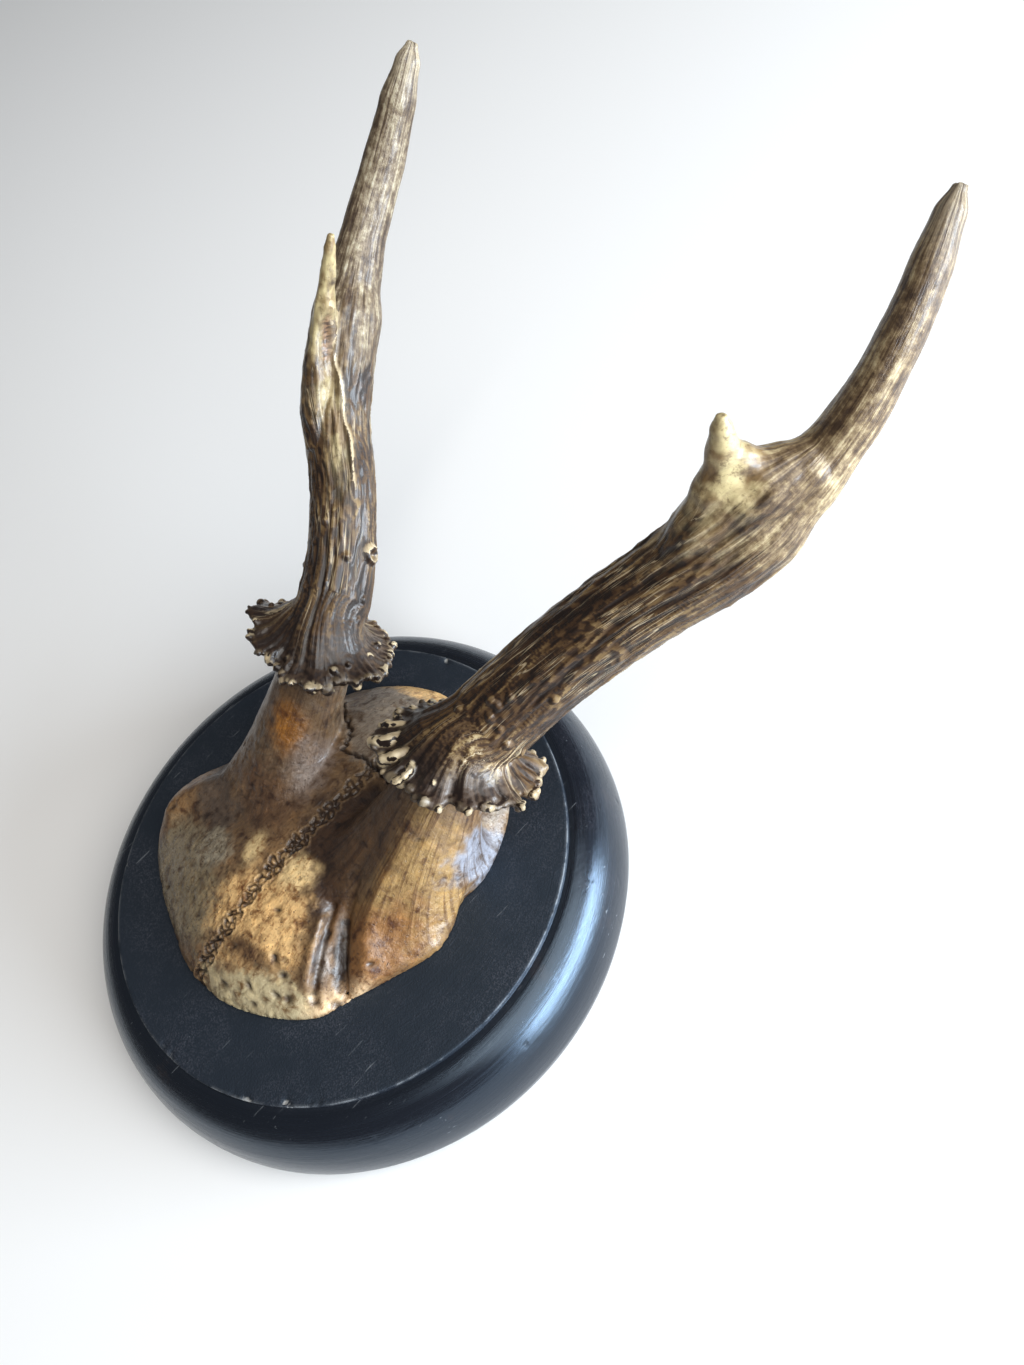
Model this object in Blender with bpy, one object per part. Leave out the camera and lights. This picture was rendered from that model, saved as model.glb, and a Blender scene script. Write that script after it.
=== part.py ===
"""A pair of roe deer antlers on their sawn skull cap, mounted on a round turned wooden plaque.

Units are metres. The origin is the centre of the plaque's flat back, which lies on z = 0.
+Z points out of the plaque's face, +Y towards the back of the skull (up, when the plaque
hangs on a wall) and +X towards the antler on the right of someone looking at the face.
"""

import math

import bmesh
import bpy
from mathutils import Matrix, Vector

GAP = 0.0003  # clearance between pieces that touch

# Plaque: a turned disc with a raised flat face and a rounded edge.
PLAQUE_RADIUS = 0.075
PLAQUE_THICKNESS = 0.024
FACE_RADIUS = 0.063
BACK_RADIUS = 0.0725
WIDEST_HEIGHT = 0.0055  # height of the greatest radius above the back
FACE_STEP = 0.0012  # how far the face stands above the quirk round it
PLAQUE_SIDES = 80
BEAD_STEPS = 8

# Two wood screws hold the skull from behind.
SCREW_PLACES = {"lower_screw": -0.014, "upper_screw": 0.026}  # y of each screw, on x = 0
HEAD_RADIUS = 0.0040
HEAD_HEIGHT = 0.0024
SHANK_RADIUS = 0.0018
SHANK_TIP = 0.0332  # z of the screws' points
SLOT_WIDTH = 0.0010
SLOT_DEPTH = 0.0010
COUNTERBORE_RADIUS = 0.0052
COUNTERBORE_DEPTH = 0.0060
CLEARANCE_RADIUS = SHANK_RADIUS + GAP
SCREW_SIDES = 20

# A blind hole near the top of the back takes the head of a nail.
NAIL_HOLE_Y = 0.056
NAIL_HOLE_RADIUS = 0.0042
NAIL_HOLE_DEPTH = 0.0100

# Skull cap: the outline of its flat sawn underside (x, y), from the front of the midline
# round the +X side to the back and on round the -X side, and the dome over it.
SKULL_BASE = PLAQUE_THICKNESS + GAP
SKULL_CENTRE = Vector((0.0, 0.004))
SKULL_OUTLINE = [
    (0.000, -0.046), (0.010, -0.044), (0.022, -0.038), (0.031, -0.030), (0.034, -0.022),
    (0.038, -0.012), (0.042, 0.000), (0.041, 0.007), (0.038, 0.013), (0.038, 0.021),
    (0.035, 0.030), (0.030, 0.038), (0.021, 0.046), (0.009, 0.051),
    (-0.009, 0.051), (-0.021, 0.046), (-0.030, 0.038), (-0.035, 0.030), (-0.038, 0.020),
    (-0.040, 0.010), (-0.043, 0.000), (-0.045, -0.013), (-0.044, -0.026), (-0.039, -0.034),
    (-0.029, -0.0395), (-0.018, -0.043), (-0.008, -0.0455),
]
SKULL_HEIGHT = 0.0150
SKULL_EDGE = 0.0012  # thickness of the bone along its sawn edge
ORBIT_EDGE = 0.0085  # thickness where the rim of each eye socket is cut through
ORBIT_X, ORBIT_Y = 0.044, -0.017  # where that rim lies, on either side
RIGHT_RIM_SHARE = 0.45  # the +X rim is sawn lower
DOME_POWER = 2.4
SKULL_SIDES = 52
SKULL_RINGS = 9

# Pedicles, given for the +X side; the other one mirrors it. LIFT raises a height that is
# given above the plaque's face.
LIFT = PLAQUE_THICKNESS
PEDICLE_TOP = Vector((0.0268, 0.0345, 0.0300 + LIFT))
PEDICLE_FOOT = Vector((0.0225, 0.0090, 0.0060 + LIFT))
PEDICLE_RADII = (0.0190, 0.0162, 0.0134, 0.0112, 0.0106)
PEDICLE_SIDES = 24
CORONET_WAY = Vector((0.05, 0.52, 0.85)).normalized()  # square to the coronet's plane

WIDE_WAY = Vector((0.85, 0.0, -0.53))  # the way the lower beam is wider
ROUTES = {
    "right": [
        (0.0268, 0.0345, 0.0300), (0.0329, 0.0512, 0.0400), (0.0419, 0.0675, 0.0508),
        (0.0530, 0.0846, 0.0612), (0.0646, 0.1020, 0.0712), (0.0716, 0.1172, 0.0828),
        (0.0742, 0.1330, 0.0972), (0.0724, 0.1500, 0.1137),
    ],
    "left": [
        (0.0268, 0.0345, 0.0300), (0.0331, 0.0506, 0.0388), (0.0427, 0.0651, 0.0475),
        (0.0540, 0.0776, 0.0565), (0.0630, 0.0915, 0.0665), (0.0702, 0.1109, 0.0800),
        (0.0724, 0.1310, 0.0957), (0.0712, 0.1489, 0.1143),
    ],
}
# Along the beam from coronet (0) to tip (1): half its width along WIDE_WAY and across it.
BEAM_WIDTHS = [
    (0.00, 0.0110, 0.0105), (0.06, 0.0102, 0.0092), (0.20, 0.0097, 0.0083),
    (0.40, 0.0097, 0.0083), (0.50, 0.0104, 0.0088), (0.57, 0.0098, 0.0088),
    (0.64, 0.0070, 0.0070), (0.72, 0.0053, 0.0060), (0.82, 0.0044, 0.0056),
    (0.91, 0.0038, 0.0046), (0.97, 0.0028, 0.0031), (1.00, 0.0012, 0.0013),
]
FORK_AT = {"right": 0.545, "left": 0.545}  # where the front tine leaves the beam
TINE_TIPS = {"right": (0.0598, 0.1013, 0.0975), "left": (0.0598, 0.1025, 0.0984)}
TINE_RADII = [
    (0.00, 0.0092), (0.30, 0.0080), (0.50, 0.0058), (0.65, 0.0042), (0.82, 0.0030),
    (0.95, 0.0021), (1.00, 0.0010),
]
BEAM_SIDES = 32
BEAM_STEPS = 22
TINE_SIDES = 20
TINE_STEPS = 9

# Coronet: the ruffled collar of pearls at the foot of each antler.
CORONET_WIDE = 0.0200  # its radius along WIDE_WAY
CORONET_DEEP = 0.0165  # its radius across it
CORONET_PEARLS = 16
PEARL_DEPTH = 0.0016
# (height above the pedicle, share of the way from the beam's side out to the pearls)
CORONET_PROFILE = [(0.0000, 0.00), (0.0006, 0.80), (0.0022, 1.00), (0.0048, 0.70), (0.0090, 0.20)]
TURN_START, TURN_LENGTH = 0.0030, 0.0120  # where the beam turns from CORONET_WAY to its route


def clear_scene():
    for old in list(bpy.data.objects):
        bpy.data.objects.remove(old, do_unlink=True)


def material(name, colour, roughness, metallic=0.0):
    made = bpy.data.materials.new(name)
    made.use_nodes = True
    shader = made.node_tree.nodes["Principled BSDF"]
    shader.inputs["Base Color"].default_value = (*colour, 1.0)
    shader.inputs["Roughness"].default_value = roughness
    shader.inputs["Metallic"].default_value = metallic
    return made


def add_object(name, mesh_data, look):
    made = bpy.data.objects.new(name, mesh_data)
    bpy.context.scene.collection.objects.link(made)
    if look:
        mesh_data.materials.append(look)
        mesh_data.shade_smooth()
        mesh_data.set_sharp_from_angle(angle=math.radians(40))
    return made


def as_cutter(made):
    made.hide_render = True
    made.display_type = "WIRE"
    return made


def mesh_from_rings(name, rings):
    """A closed mesh through rings of points, each as long as the next, capped at both ends."""
    bm = bmesh.new()
    loops = [[bm.verts.new(p) for p in ring] for ring in rings]
    count = len(rings[0])
    for low, high in zip(loops, loops[1:]):
        for i in range(count):
            j = (i + 1) % count
            bm.faces.new((low[i], low[j], high[j], high[i]))
    bm.faces.new(loops[0][::-1])
    bm.faces.new(loops[-1])
    bmesh.ops.recalc_face_normals(bm, faces=bm.faces)
    made = bpy.data.meshes.new(name)
    bm.to_mesh(made)
    bm.free()
    return made


def turned(name, profile, sides):
    """A solid turned about Z from a profile of (radius, z), bottom to top."""
    rings = []
    for radius, z in profile:
        angles = [math.tau * i / sides for i in range(sides)]
        rings.append([(radius * math.cos(a), radius * math.sin(a), z) for a in angles])
    return mesh_from_rings(name, rings)


def boolean(target, tool, operation):
    cut = target.modifiers.new(f"{operation.lower()}_{tool.name}", "BOOLEAN")
    cut.object = tool
    cut.operation = operation
    cut.solver = "EXACT"


def bore(target, name, x, y, low, high, radius):
    """Cuts a round hole along Z into the target."""
    tool = add_object(name, turned(name, [(radius, low), (radius, high)], SCREW_SIDES), None)
    tool.location = (x, y, 0.0)
    boolean(target, as_cutter(tool), "DIFFERENCE")


def smooth_point(points, t):
    """The point at t, from 0 to 1, on a smooth curve through evenly spread points."""
    spans = len(points) - 1
    i = min(int(t * spans), spans - 1)
    u = t * spans - i
    p1, p2 = Vector(points[i]), Vector(points[i + 1])
    p0 = Vector(points[i - 1]) if i > 0 else 2 * p1 - p2
    p3 = Vector(points[i + 2]) if i + 2 <= spans else 2 * p2 - p1
    return 0.5 * (
        2 * p1 + (p2 - p0) * u + (2 * p0 - 5 * p1 + 4 * p2 - p3) * u**2
        + (3 * p1 - p0 - 3 * p2 + p3) * u**3
    )


def value_at(table, t, column):
    """A column of a table read at t, with straight steps between its rows."""
    for low, high in zip(table, table[1:]):
        if t <= high[0]:
            u = (t - low[0]) / (high[0] - low[0])
            return low[column] + (high[column] - low[column]) * u
    return table[-1][column]


def frame_along(along, wide_way):
    """Two unit vectors across a tangent: one near wide_way, and one square to it."""
    wide = (wide_way - along * wide_way.dot(along)).normalized()
    return wide, along.cross(wide)


def ellipse(centre, wide, deep, half_wide, half_deep, sides, notch=0.0, period=1):
    """A ring of points; with a notch, only one point in each period keeps its full radius."""
    points = []
    for i in range(sides):
        a = math.tau * i / sides
        less = notch if i % period else 0.0
        across = wide * math.cos(a) * (half_wide - less) + deep * math.sin(a) * (half_deep - less)
        points.append(centre + across)
    return points


def make_plaque(look):
    profile = [(BACK_RADIUS, 0.0), (BACK_RADIUS + 0.0015, 0.0016), (PLAQUE_RADIUS, WIDEST_HEIGHT)]
    quirk_height = PLAQUE_THICKNESS - FACE_STEP
    for i in range(1, BEAD_STEPS + 1):
        a = math.radians(84) * i / BEAD_STEPS
        share = math.sin(a) / math.sin(math.radians(84))
        radius = FACE_RADIUS + 0.0006 + (PLAQUE_RADIUS - FACE_RADIUS - 0.0006) * math.cos(a)
        profile.append((radius, WIDEST_HEIGHT + (quirk_height - WIDEST_HEIGHT) * share))
    profile.append((FACE_RADIUS, quirk_height))
    profile.append((FACE_RADIUS, PLAQUE_THICKNESS))
    plaque = add_object("plaque", turned("plaque", profile, PLAQUE_SIDES), look)
    for name, y in SCREW_PLACES.items():
        bore(plaque, f"{name}_counterbore", 0.0, y, -0.01, COUNTERBORE_DEPTH, COUNTERBORE_RADIUS)
        bore(plaque, f"{name}_clearance", 0.0, y, 0.001, PLAQUE_THICKNESS + 0.005, CLEARANCE_RADIUS)
    bore(plaque, "nail_hole", 0.0, NAIL_HOLE_Y, -0.01, NAIL_HOLE_DEPTH, NAIL_HOLE_RADIUS)
    return plaque


def make_screw(name, y, look):
    head_low = COUNTERBORE_DEPTH - HEAD_HEIGHT - GAP
    neck = COUNTERBORE_DEPTH - GAP
    profile = [
        (HEAD_RADIUS * 0.86, head_low), (HEAD_RADIUS, head_low + 0.0006), (HEAD_RADIUS, neck),
        (SHANK_RADIUS, neck), (SHANK_RADIUS, SHANK_TIP - 0.004), (0.0004, SHANK_TIP),
    ]
    screw = add_object(name, turned(name, profile, SCREW_SIDES), look)
    screw.location = (0.0, y, 0.0)
    slot = bpy.data.meshes.new(f"{name}_slot")
    bm = bmesh.new()
    size = Matrix.Diagonal((4 * HEAD_RADIUS, SLOT_WIDTH, 2 * SLOT_DEPTH, 1.0))
    bmesh.ops.create_cube(bm, size=1.0, matrix=Matrix.Translation((0, 0, head_low)) @ size)
    bm.to_mesh(slot)
    bm.free()
    cutter = as_cutter(add_object(f"{name}_slot", slot, None))
    cutter.location = (0.0, y, 0.0)
    cutter.rotation_euler = (0.0, 0.0, math.radians(35 if y > 0 else -20))
    boolean(screw, cutter, "DIFFERENCE")


def edge_thickness(x, y):
    """The thickness of the bone at its sawn edge: thicker where the eye sockets' rims are cut."""
    rim = math.exp(-(((abs(x) - ORBIT_X) / 0.008) ** 2 + ((y - ORBIT_Y) / 0.013) ** 2))
    share = 1.0 if x < 0.0 else RIGHT_RIM_SHARE
    return SKULL_EDGE + (ORBIT_EDGE - SKULL_EDGE) * rim * share


def skull_dome():
    """The frontal and parietal bones as rings from the sawn edge in to the crown."""
    closed = [(*p, 0.0) for p in SKULL_OUTLINE + SKULL_OUTLINE[:1]]
    edge = [smooth_point(closed, i / SKULL_SIDES).xy for i in range(SKULL_SIDES)]
    rings = [[(p.x, p.y, SKULL_BASE) for p in edge]]
    for k in range(SKULL_RINGS):
        share = 1.0 - k / SKULL_RINGS
        ring = []
        for p in edge:
            q = SKULL_CENTRE + (p - SKULL_CENTRE) * share
            low = edge_thickness(p.x, p.y)
            rise = (1.0 - share**DOME_POWER) ** 0.75
            ring.append((q.x, q.y, SKULL_BASE + low + (SKULL_HEIGHT - low) * rise))
        rings.append(ring)
    return mesh_from_rings("skull_cap", rings)


def pedicle(name, side):
    mirror = Matrix.Diagonal((side, 1.0, 1.0))
    foot, top = mirror @ PEDICLE_FOOT, mirror @ PEDICLE_TOP
    rings = []
    for k, radius in enumerate(PEDICLE_RADII):
        share = k / (len(PEDICLE_RADII) - 1)
        along = (top - foot).normalized().lerp(mirror @ CORONET_WAY, share).normalized()
        wide, deep = frame_along(along, mirror @ WIDE_WAY)
        centre = foot.lerp(top, share)
        rings.append(ellipse(centre, wide, deep, radius, radius * 0.94, PEDICLE_SIDES))
    rings[0] = [Vector((p.x, p.y, max(p.z, SKULL_BASE + 0.0010))) for p in rings[0]]
    return as_cutter(add_object(name, mesh_from_rings(name, rings), None))


def make_skull_cap(look):
    skull = add_object("skull_cap", skull_dome(), look)
    boolean(skull, pedicle("right_pedicle", 1), "UNION")
    boolean(skull, pedicle("left_pedicle", -1), "UNION")
    for name, y in SCREW_PLACES.items():
        bore(skull, f"{name}_pilot", 0.0, y, 0.01, SHANK_TIP + GAP, CLEARANCE_RADIUS)


def antler_route(name):
    side = 1 if name == "right" else -1
    return side, [Vector((side * x, y, z + LIFT)) for x, y, z in ROUTES[name]]


def eased(x):
    x = min(max(x, 0.0), 1.0)
    return x * x * (3.0 - 2.0 * x)


def beam_rings(name, grow=0.0):
    """Rings along a beam, from its foot on the pedicle through the coronet to the tip."""
    side, route = antler_route(name)
    mirror = Matrix.Diagonal((side, 1.0, 1.0))
    length = sum((b - a).length for a, b in zip(route, route[1:]))
    coronet_way = mirror @ CORONET_WAY
    foot = mirror @ PEDICLE_TOP + coronet_way * GAP
    last = CORONET_PROFILE[-1][0]
    heights = [height for height, _ in CORONET_PROFILE]
    heights += [last + (length - last) * (k + 1) / BEAM_STEPS for k in range(BEAM_STEPS)]
    spreads = [spread for _, spread in CORONET_PROFILE] + [0.0] * BEAM_STEPS
    rings = []
    for height, spread in zip(heights, spreads):
        t = height / length
        ahead = smooth_point(route, min(t + 0.01, 1.0))
        route_way = (ahead - smooth_point(route, max(t - 0.01, 0.0))).normalized()
        turned_by = eased((height - TURN_START) / TURN_LENGTH)
        along = coronet_way.lerp(route_way, turned_by).normalized()
        centre = (foot + coronet_way * height).lerp(smooth_point(route, t), turned_by)
        wide, deep = frame_along(along, mirror @ WIDE_WAY)
        half_wide = value_at(BEAM_WIDTHS, t, 1) + grow
        half_deep = value_at(BEAM_WIDTHS, t, 2) + grow
        half_wide += (CORONET_WIDE - half_wide) * spread
        half_deep += (CORONET_DEEP - half_deep) * spread
        notch, period = PEARL_DEPTH * spread, BEAM_SIDES // CORONET_PEARLS
        rings.append(ellipse(centre, wide, deep, half_wide, half_deep, BEAM_SIDES, notch, period))
    return rings


def make_antler(name, beam_look, tine_look):
    add_object(f"{name}_antler_beam", mesh_from_rings(f"{name}_beam", beam_rings(name)), beam_look)
    side, route = antler_route(name)
    fork = smooth_point(route, FORK_AT[name])
    x, y, z = TINE_TIPS[name]
    tip = Vector((side * x, y, z + LIFT))
    along = (tip - fork).normalized()
    wide, deep = frame_along(along, Vector((side * WIDE_WAY.x, 0.0, WIDE_WAY.z)))
    rings = []
    for k in range(TINE_STEPS + 1):
        t = k / TINE_STEPS
        radius = value_at(TINE_RADII, t, 1)
        rings.append(ellipse(fork.lerp(tip, t), wide, deep, radius, radius, TINE_SIDES))
    tine = add_object(f"{name}_front_tine", mesh_from_rings(f"{name}_tine", rings), tine_look)
    around = mesh_from_rings(f"{name}_beam_clearance", beam_rings(name, grow=GAP))
    boolean(tine, as_cutter(add_object(f"{name}_beam_clearance", around, None)), "DIFFERENCE")


def main():
    clear_scene()
    ebonised = material("ebonised_wood", (0.012, 0.013, 0.018), 0.35)
    steel = material("screw_steel", (0.45, 0.44, 0.42), 0.4, metallic=1.0)
    bone = material("skull_bone", (0.42, 0.27, 0.12), 0.5)
    antler = material("antler_brown", (0.16, 0.10, 0.05), 0.5)
    ivory = material("antler_ivory", (0.62, 0.50, 0.30), 0.35)
    make_plaque(ebonised)
    for name, y in SCREW_PLACES.items():
        make_screw(name, y, steel)
    make_skull_cap(bone)
    for name in ROUTES:
        make_antler(name, antler, ivory)


main()
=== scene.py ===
"""Looks of the mounted roe deer antlers: bone, antler, ebonised wood, light and camera.

Organic shapes are modelled in millimetres above the plaque's face and put in place, in
metres, when their meshes are made. They repeat the routes of the CAD model, whose boxes say
where everything is. The right antler is the one at +X, and the left one is modelled on the
same side and mirrored.
"""

import math

import bmesh
import bpy
import numpy as np
from mathutils import Matrix, Vector
from mathutils.bvhtree import BVHTree
from mathutils.kdtree import KDTree


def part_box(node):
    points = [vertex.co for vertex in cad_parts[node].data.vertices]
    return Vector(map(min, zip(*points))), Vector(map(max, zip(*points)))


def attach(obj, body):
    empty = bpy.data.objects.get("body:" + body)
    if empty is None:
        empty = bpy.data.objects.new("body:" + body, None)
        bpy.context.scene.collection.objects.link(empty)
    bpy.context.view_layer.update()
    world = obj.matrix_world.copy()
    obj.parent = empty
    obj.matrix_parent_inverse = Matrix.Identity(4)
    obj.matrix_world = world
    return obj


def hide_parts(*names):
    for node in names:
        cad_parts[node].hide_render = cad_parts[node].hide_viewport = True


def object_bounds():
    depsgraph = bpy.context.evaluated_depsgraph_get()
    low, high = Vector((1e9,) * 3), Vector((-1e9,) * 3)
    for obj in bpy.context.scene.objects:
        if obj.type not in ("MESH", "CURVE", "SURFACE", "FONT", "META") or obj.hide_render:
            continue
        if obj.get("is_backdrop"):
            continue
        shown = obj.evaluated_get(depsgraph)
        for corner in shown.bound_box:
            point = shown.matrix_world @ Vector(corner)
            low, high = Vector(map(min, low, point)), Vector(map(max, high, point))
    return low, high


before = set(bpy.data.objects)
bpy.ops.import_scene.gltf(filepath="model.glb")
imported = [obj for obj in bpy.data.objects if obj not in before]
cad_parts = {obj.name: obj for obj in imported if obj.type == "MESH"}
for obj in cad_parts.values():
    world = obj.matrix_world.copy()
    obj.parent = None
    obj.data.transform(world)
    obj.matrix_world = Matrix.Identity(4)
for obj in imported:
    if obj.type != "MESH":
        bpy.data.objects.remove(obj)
CAD_LOW, CAD_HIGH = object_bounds()

MM = 0.001
PLAQUE_HIGH = np.array(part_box("plaque")[1]) / MM
FACE_Z = PLAQUE_HIGH[2]
LIFT = np.array((0.0, 0.0, FACE_Z))  # raises a height given above the plaque's face
PLAQUE_RADIUS = PLAQUE_HIGH[0]
FACE_RADIUS = 63.0
BACK_RADIUS = 72.5
WIDEST_HEIGHT = 5.5
FACE_STEP = 1.2
COUNTERBORE_RADIUS, COUNTERBORE_DEPTH = 5.2, 6.0
CLEARANCE_RADIUS = 2.1
NAIL_HOLE = (0.0, 56.0)
NAIL_HOLE_RADIUS, NAIL_HOLE_DEPTH = 4.2, 10.0
SCREW_PLACES = (-14.0, 26.0)  # y of each screw, on x = 0
GAP = 0.3  # between pieces that touch


# ---------------------------------------------------------------- numbers and noise


def unit(v):
    return v / np.linalg.norm(v, axis=-1, keepdims=True)


def eased(x):
    x = np.clip(x, 0.0, 1.0)
    return x * x * (3.0 - 2.0 * x)


def between(x, low, high):
    """0 below low, 1 above high, eased in between."""
    return eased((x - low) / (high - low))


def bump(distance, width):
    return np.exp(-((distance / width) ** 2))


def lattice(ix, iy, iz, seed):
    """A fixed random number from -1 to 1 for each lattice point."""
    h = (ix * 374761393 + iy * 668265263 + iz * 1440662683 + seed * 1274126177) & 0xFFFFFFFF
    h = ((h ^ (h >> 13)) * 1274126177) & 0xFFFFFFFF
    h = ((h ^ (h >> 16)) * 2246822519) & 0xFFFFFFFF
    h = h ^ (h >> 15)
    return h.astype(np.float64) / 2147483647.5 - 1.0


def noise(points, size, seed=0):
    """Smooth value noise from -1 to 1, whose lumps are about size across."""
    p = np.asarray(points, float) / size + 1000.0
    low = np.floor(p).astype(np.int64)
    f = eased(p - low)
    total = np.zeros(len(p))
    for dx in (0, 1):
        for dy in (0, 1):
            for dz in (0, 1):
                share = np.abs(1 - dx - f[:, 0]) * np.abs(1 - dy - f[:, 1]) * np.abs(1 - dz - f[:, 2])
                total += share * lattice(low[:, 0] + dx, low[:, 1] + dy, low[:, 2] + dz, seed)
    return total


def rough(points, size, seed=0, octaves=4):
    """Noise with finer and fainter copies of itself added."""
    total = sum(noise(points, size / 2.03**k, seed + k) / 1.7**k for k in range(octaves))
    return total / sum(1 / 1.7**k for k in range(octaves))


def through(points, t):
    """Points at each t, from 0 to 1, on a smooth curve through evenly spread points."""
    points = np.asarray(points, float)
    knots = np.array([2 * points[0] - points[1], *points, 2 * points[-1] - points[-2]])
    spans = len(points) - 1
    x = np.clip(np.asarray(t, float), 0, 1) * spans
    i = np.minimum(x.astype(int), spans - 1)
    u = (x - i)[..., None]
    p0, p1, p2, p3 = (knots[i + k] for k in range(4))
    return 0.5 * (
        2 * p1 + (p2 - p0) * u + (2 * p0 - 5 * p1 + 4 * p2 - p3) * u**2
        + (3 * p1 - p0 - 3 * p2 + p3) * u**3
    )


def column(table, t, k):
    """Column k of a table whose first column is t, read with eased steps."""
    table = np.asarray(table, float)
    i = np.clip(np.searchsorted(table[:, 0], t) - 1, 0, len(table) - 2)
    u = eased((t - table[i, 0]) / (table[i + 1, 0] - table[i, 0]))
    return table[i, k] * (1 - u) + table[i + 1, k] * u


# ---------------------------------------------------------------- meshes


def link(name, mesh_data):
    made = bpy.data.objects.new(name, mesh_data)
    bpy.context.scene.collection.objects.link(made)
    return made


def mesh_of(name, points, faces):
    """A mesh from points in millimetres, in the row frame."""
    made = bpy.data.meshes.new(name)
    made.from_pydata((np.asarray(points, float) * MM).tolist(), [], faces)
    made.update()
    return made


def points_of(mesh_data):
    found = np.empty(len(mesh_data.vertices) * 3, np.float32)
    mesh_data.vertices.foreach_get("co", found)
    return found.reshape(-1, 3).astype(float) / MM


def set_points(mesh_data, points):
    mesh_data.vertices.foreach_set("co", (points * MM).astype(np.float32).ravel())
    mesh_data.update()


def normals_of(mesh_data):
    found = np.empty(len(mesh_data.vertices) * 3, np.float32)
    mesh_data.vertex_normals.foreach_get("vector", found)
    return found.reshape(-1, 3).astype(float)


def edges_of(mesh_data):
    found = np.empty(len(mesh_data.edges) * 2, np.int32)
    mesh_data.edges.foreach_get("vertices", found)
    return found.reshape(-1, 2)


def smoothed(values, edges, rounds, weight=1.0, pull=0.6):
    """Values or points drawn towards their neighbours' mean, each by its own weight."""
    flat = values.ndim == 1
    values = values.reshape(len(values), -1)
    a, b = np.concatenate([edges, edges[:, ::-1]]).T
    count = np.maximum(np.bincount(a, minlength=len(values)), 1)
    weight = np.broadcast_to(np.asarray(weight, float), (len(values),))[:, None]
    for _ in range(rounds):
        mean = np.stack([np.bincount(a, row[b], len(values)) / count for row in values.T], 1)
        values = values + (mean - values) * pull * weight
    return values[:, 0] if flat else values


def without_islands(mesh_data):
    """Keeps only the largest connected part of a mesh."""
    bm = bmesh.new()
    bm.from_mesh(mesh_data)
    bm.verts.ensure_lookup_table()
    seen, parts = [False] * len(bm.verts), []
    for first in bm.verts:
        if seen[first.index]:
            continue
        part, seen[first.index] = [first], True
        for vert in part:
            for edge in vert.link_edges:
                other = edge.other_vert(vert)
                if not seen[other.index]:
                    seen[other.index] = True
                    part.append(other)
        parts.append(part)
    largest = max(parts, key=len)
    strays = [vert for part in parts if part is not largest for vert in part]
    bmesh.ops.delete(bm, geom=strays, context="VERTS")
    bm.to_mesh(mesh_data)
    bm.free()


def remeshed(name, pieces, voxel):
    """One closed mesh round all the pieces, each (points, faces), with even square faces."""
    points, faces, start = [], [], 0
    for piece_points, piece_faces in pieces:
        points.append(np.asarray(piece_points, float))
        faces += [[start + i for i in face] for face in piece_faces]
        start += len(piece_points)
    rough_one = link(f"{name}_rough", mesh_of(f"{name}_rough", np.concatenate(points), faces))
    skin = rough_one.modifiers.new("skin", "REMESH")
    skin.mode = "VOXEL"
    skin.voxel_size = voxel * MM
    seen = rough_one.evaluated_get(bpy.context.evaluated_depsgraph_get())
    made = bpy.data.meshes.new_from_object(seen)
    made.name = name
    bpy.data.objects.remove(rough_one)
    without_islands(made)
    return made


def walls(rings, sides):
    """Faces between neighbouring rings of points."""
    faces = []
    for low in range(0, (rings - 1) * sides, sides):
        for i in range(sides):
            j = (i + 1) % sides
            faces.append((low + i, low + j, low + sides + j, low + sides + i))
    return faces


def closed_walls(rings, sides):
    """Faces between rings of points, and over the first and the last ring."""
    ends = [tuple(range(sides))[::-1], tuple(range((rings - 1) * sides, rings * sides))]
    return walls(rings, sides) + ends


def tube(centres, wides, deeps, half_wide, half_deep, sides):
    """(points, faces) of a closed tube of elliptical rings."""
    a = np.linspace(0, math.tau, sides, endpoint=False)
    ring = np.cos(a)[None, :, None] * (wides * half_wide[:, None])[:, None, :]
    ring = ring + np.sin(a)[None, :, None] * (deeps * half_deep[:, None])[:, None, :]
    return (centres[:, None, :] + ring).reshape(-1, 3), closed_walls(len(centres), sides)


def blob(centre, radius, stretch=(1.0, 1.0, 1.0), sides=12):
    """(points, faces) of a small ball, stretched along the axes."""
    lat = np.linspace(-0.5 * math.pi, 0.5 * math.pi, sides // 2 + 1)[1:-1]
    lon = np.linspace(0, math.tau, sides, endpoint=False)
    ring = [(math.cos(a) * math.cos(b), math.cos(a) * math.sin(b), math.sin(a)) for a in lat for b in lon]
    points = centre + np.array([(0, 0, -1), *ring, (0, 0, 1)]) * np.asarray(stretch) * radius
    faces = [tuple(corner + 1 for corner in face) for face in walls(len(lat), sides)]
    top = 1 + (len(lat) - 1) * sides
    for i in range(sides):
        j = (i + 1) % sides
        faces += [(0, 1 + j, 1 + i), (len(points) - 1, top + i, top + j)]
    return points, faces


def store(mesh_data, name, values):
    """A value for each point that the material reads."""
    if values.ndim == 1:
        made = mesh_data.attributes.new(name, "FLOAT", "POINT")
        made.data.foreach_set("value", values.astype(np.float32))
    else:
        made = mesh_data.attributes.new(name, "FLOAT_VECTOR", "POINT")
        made.data.foreach_set("vector", values.astype(np.float32).ravel())


# ---------------------------------------------------------------- material nodes


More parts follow.
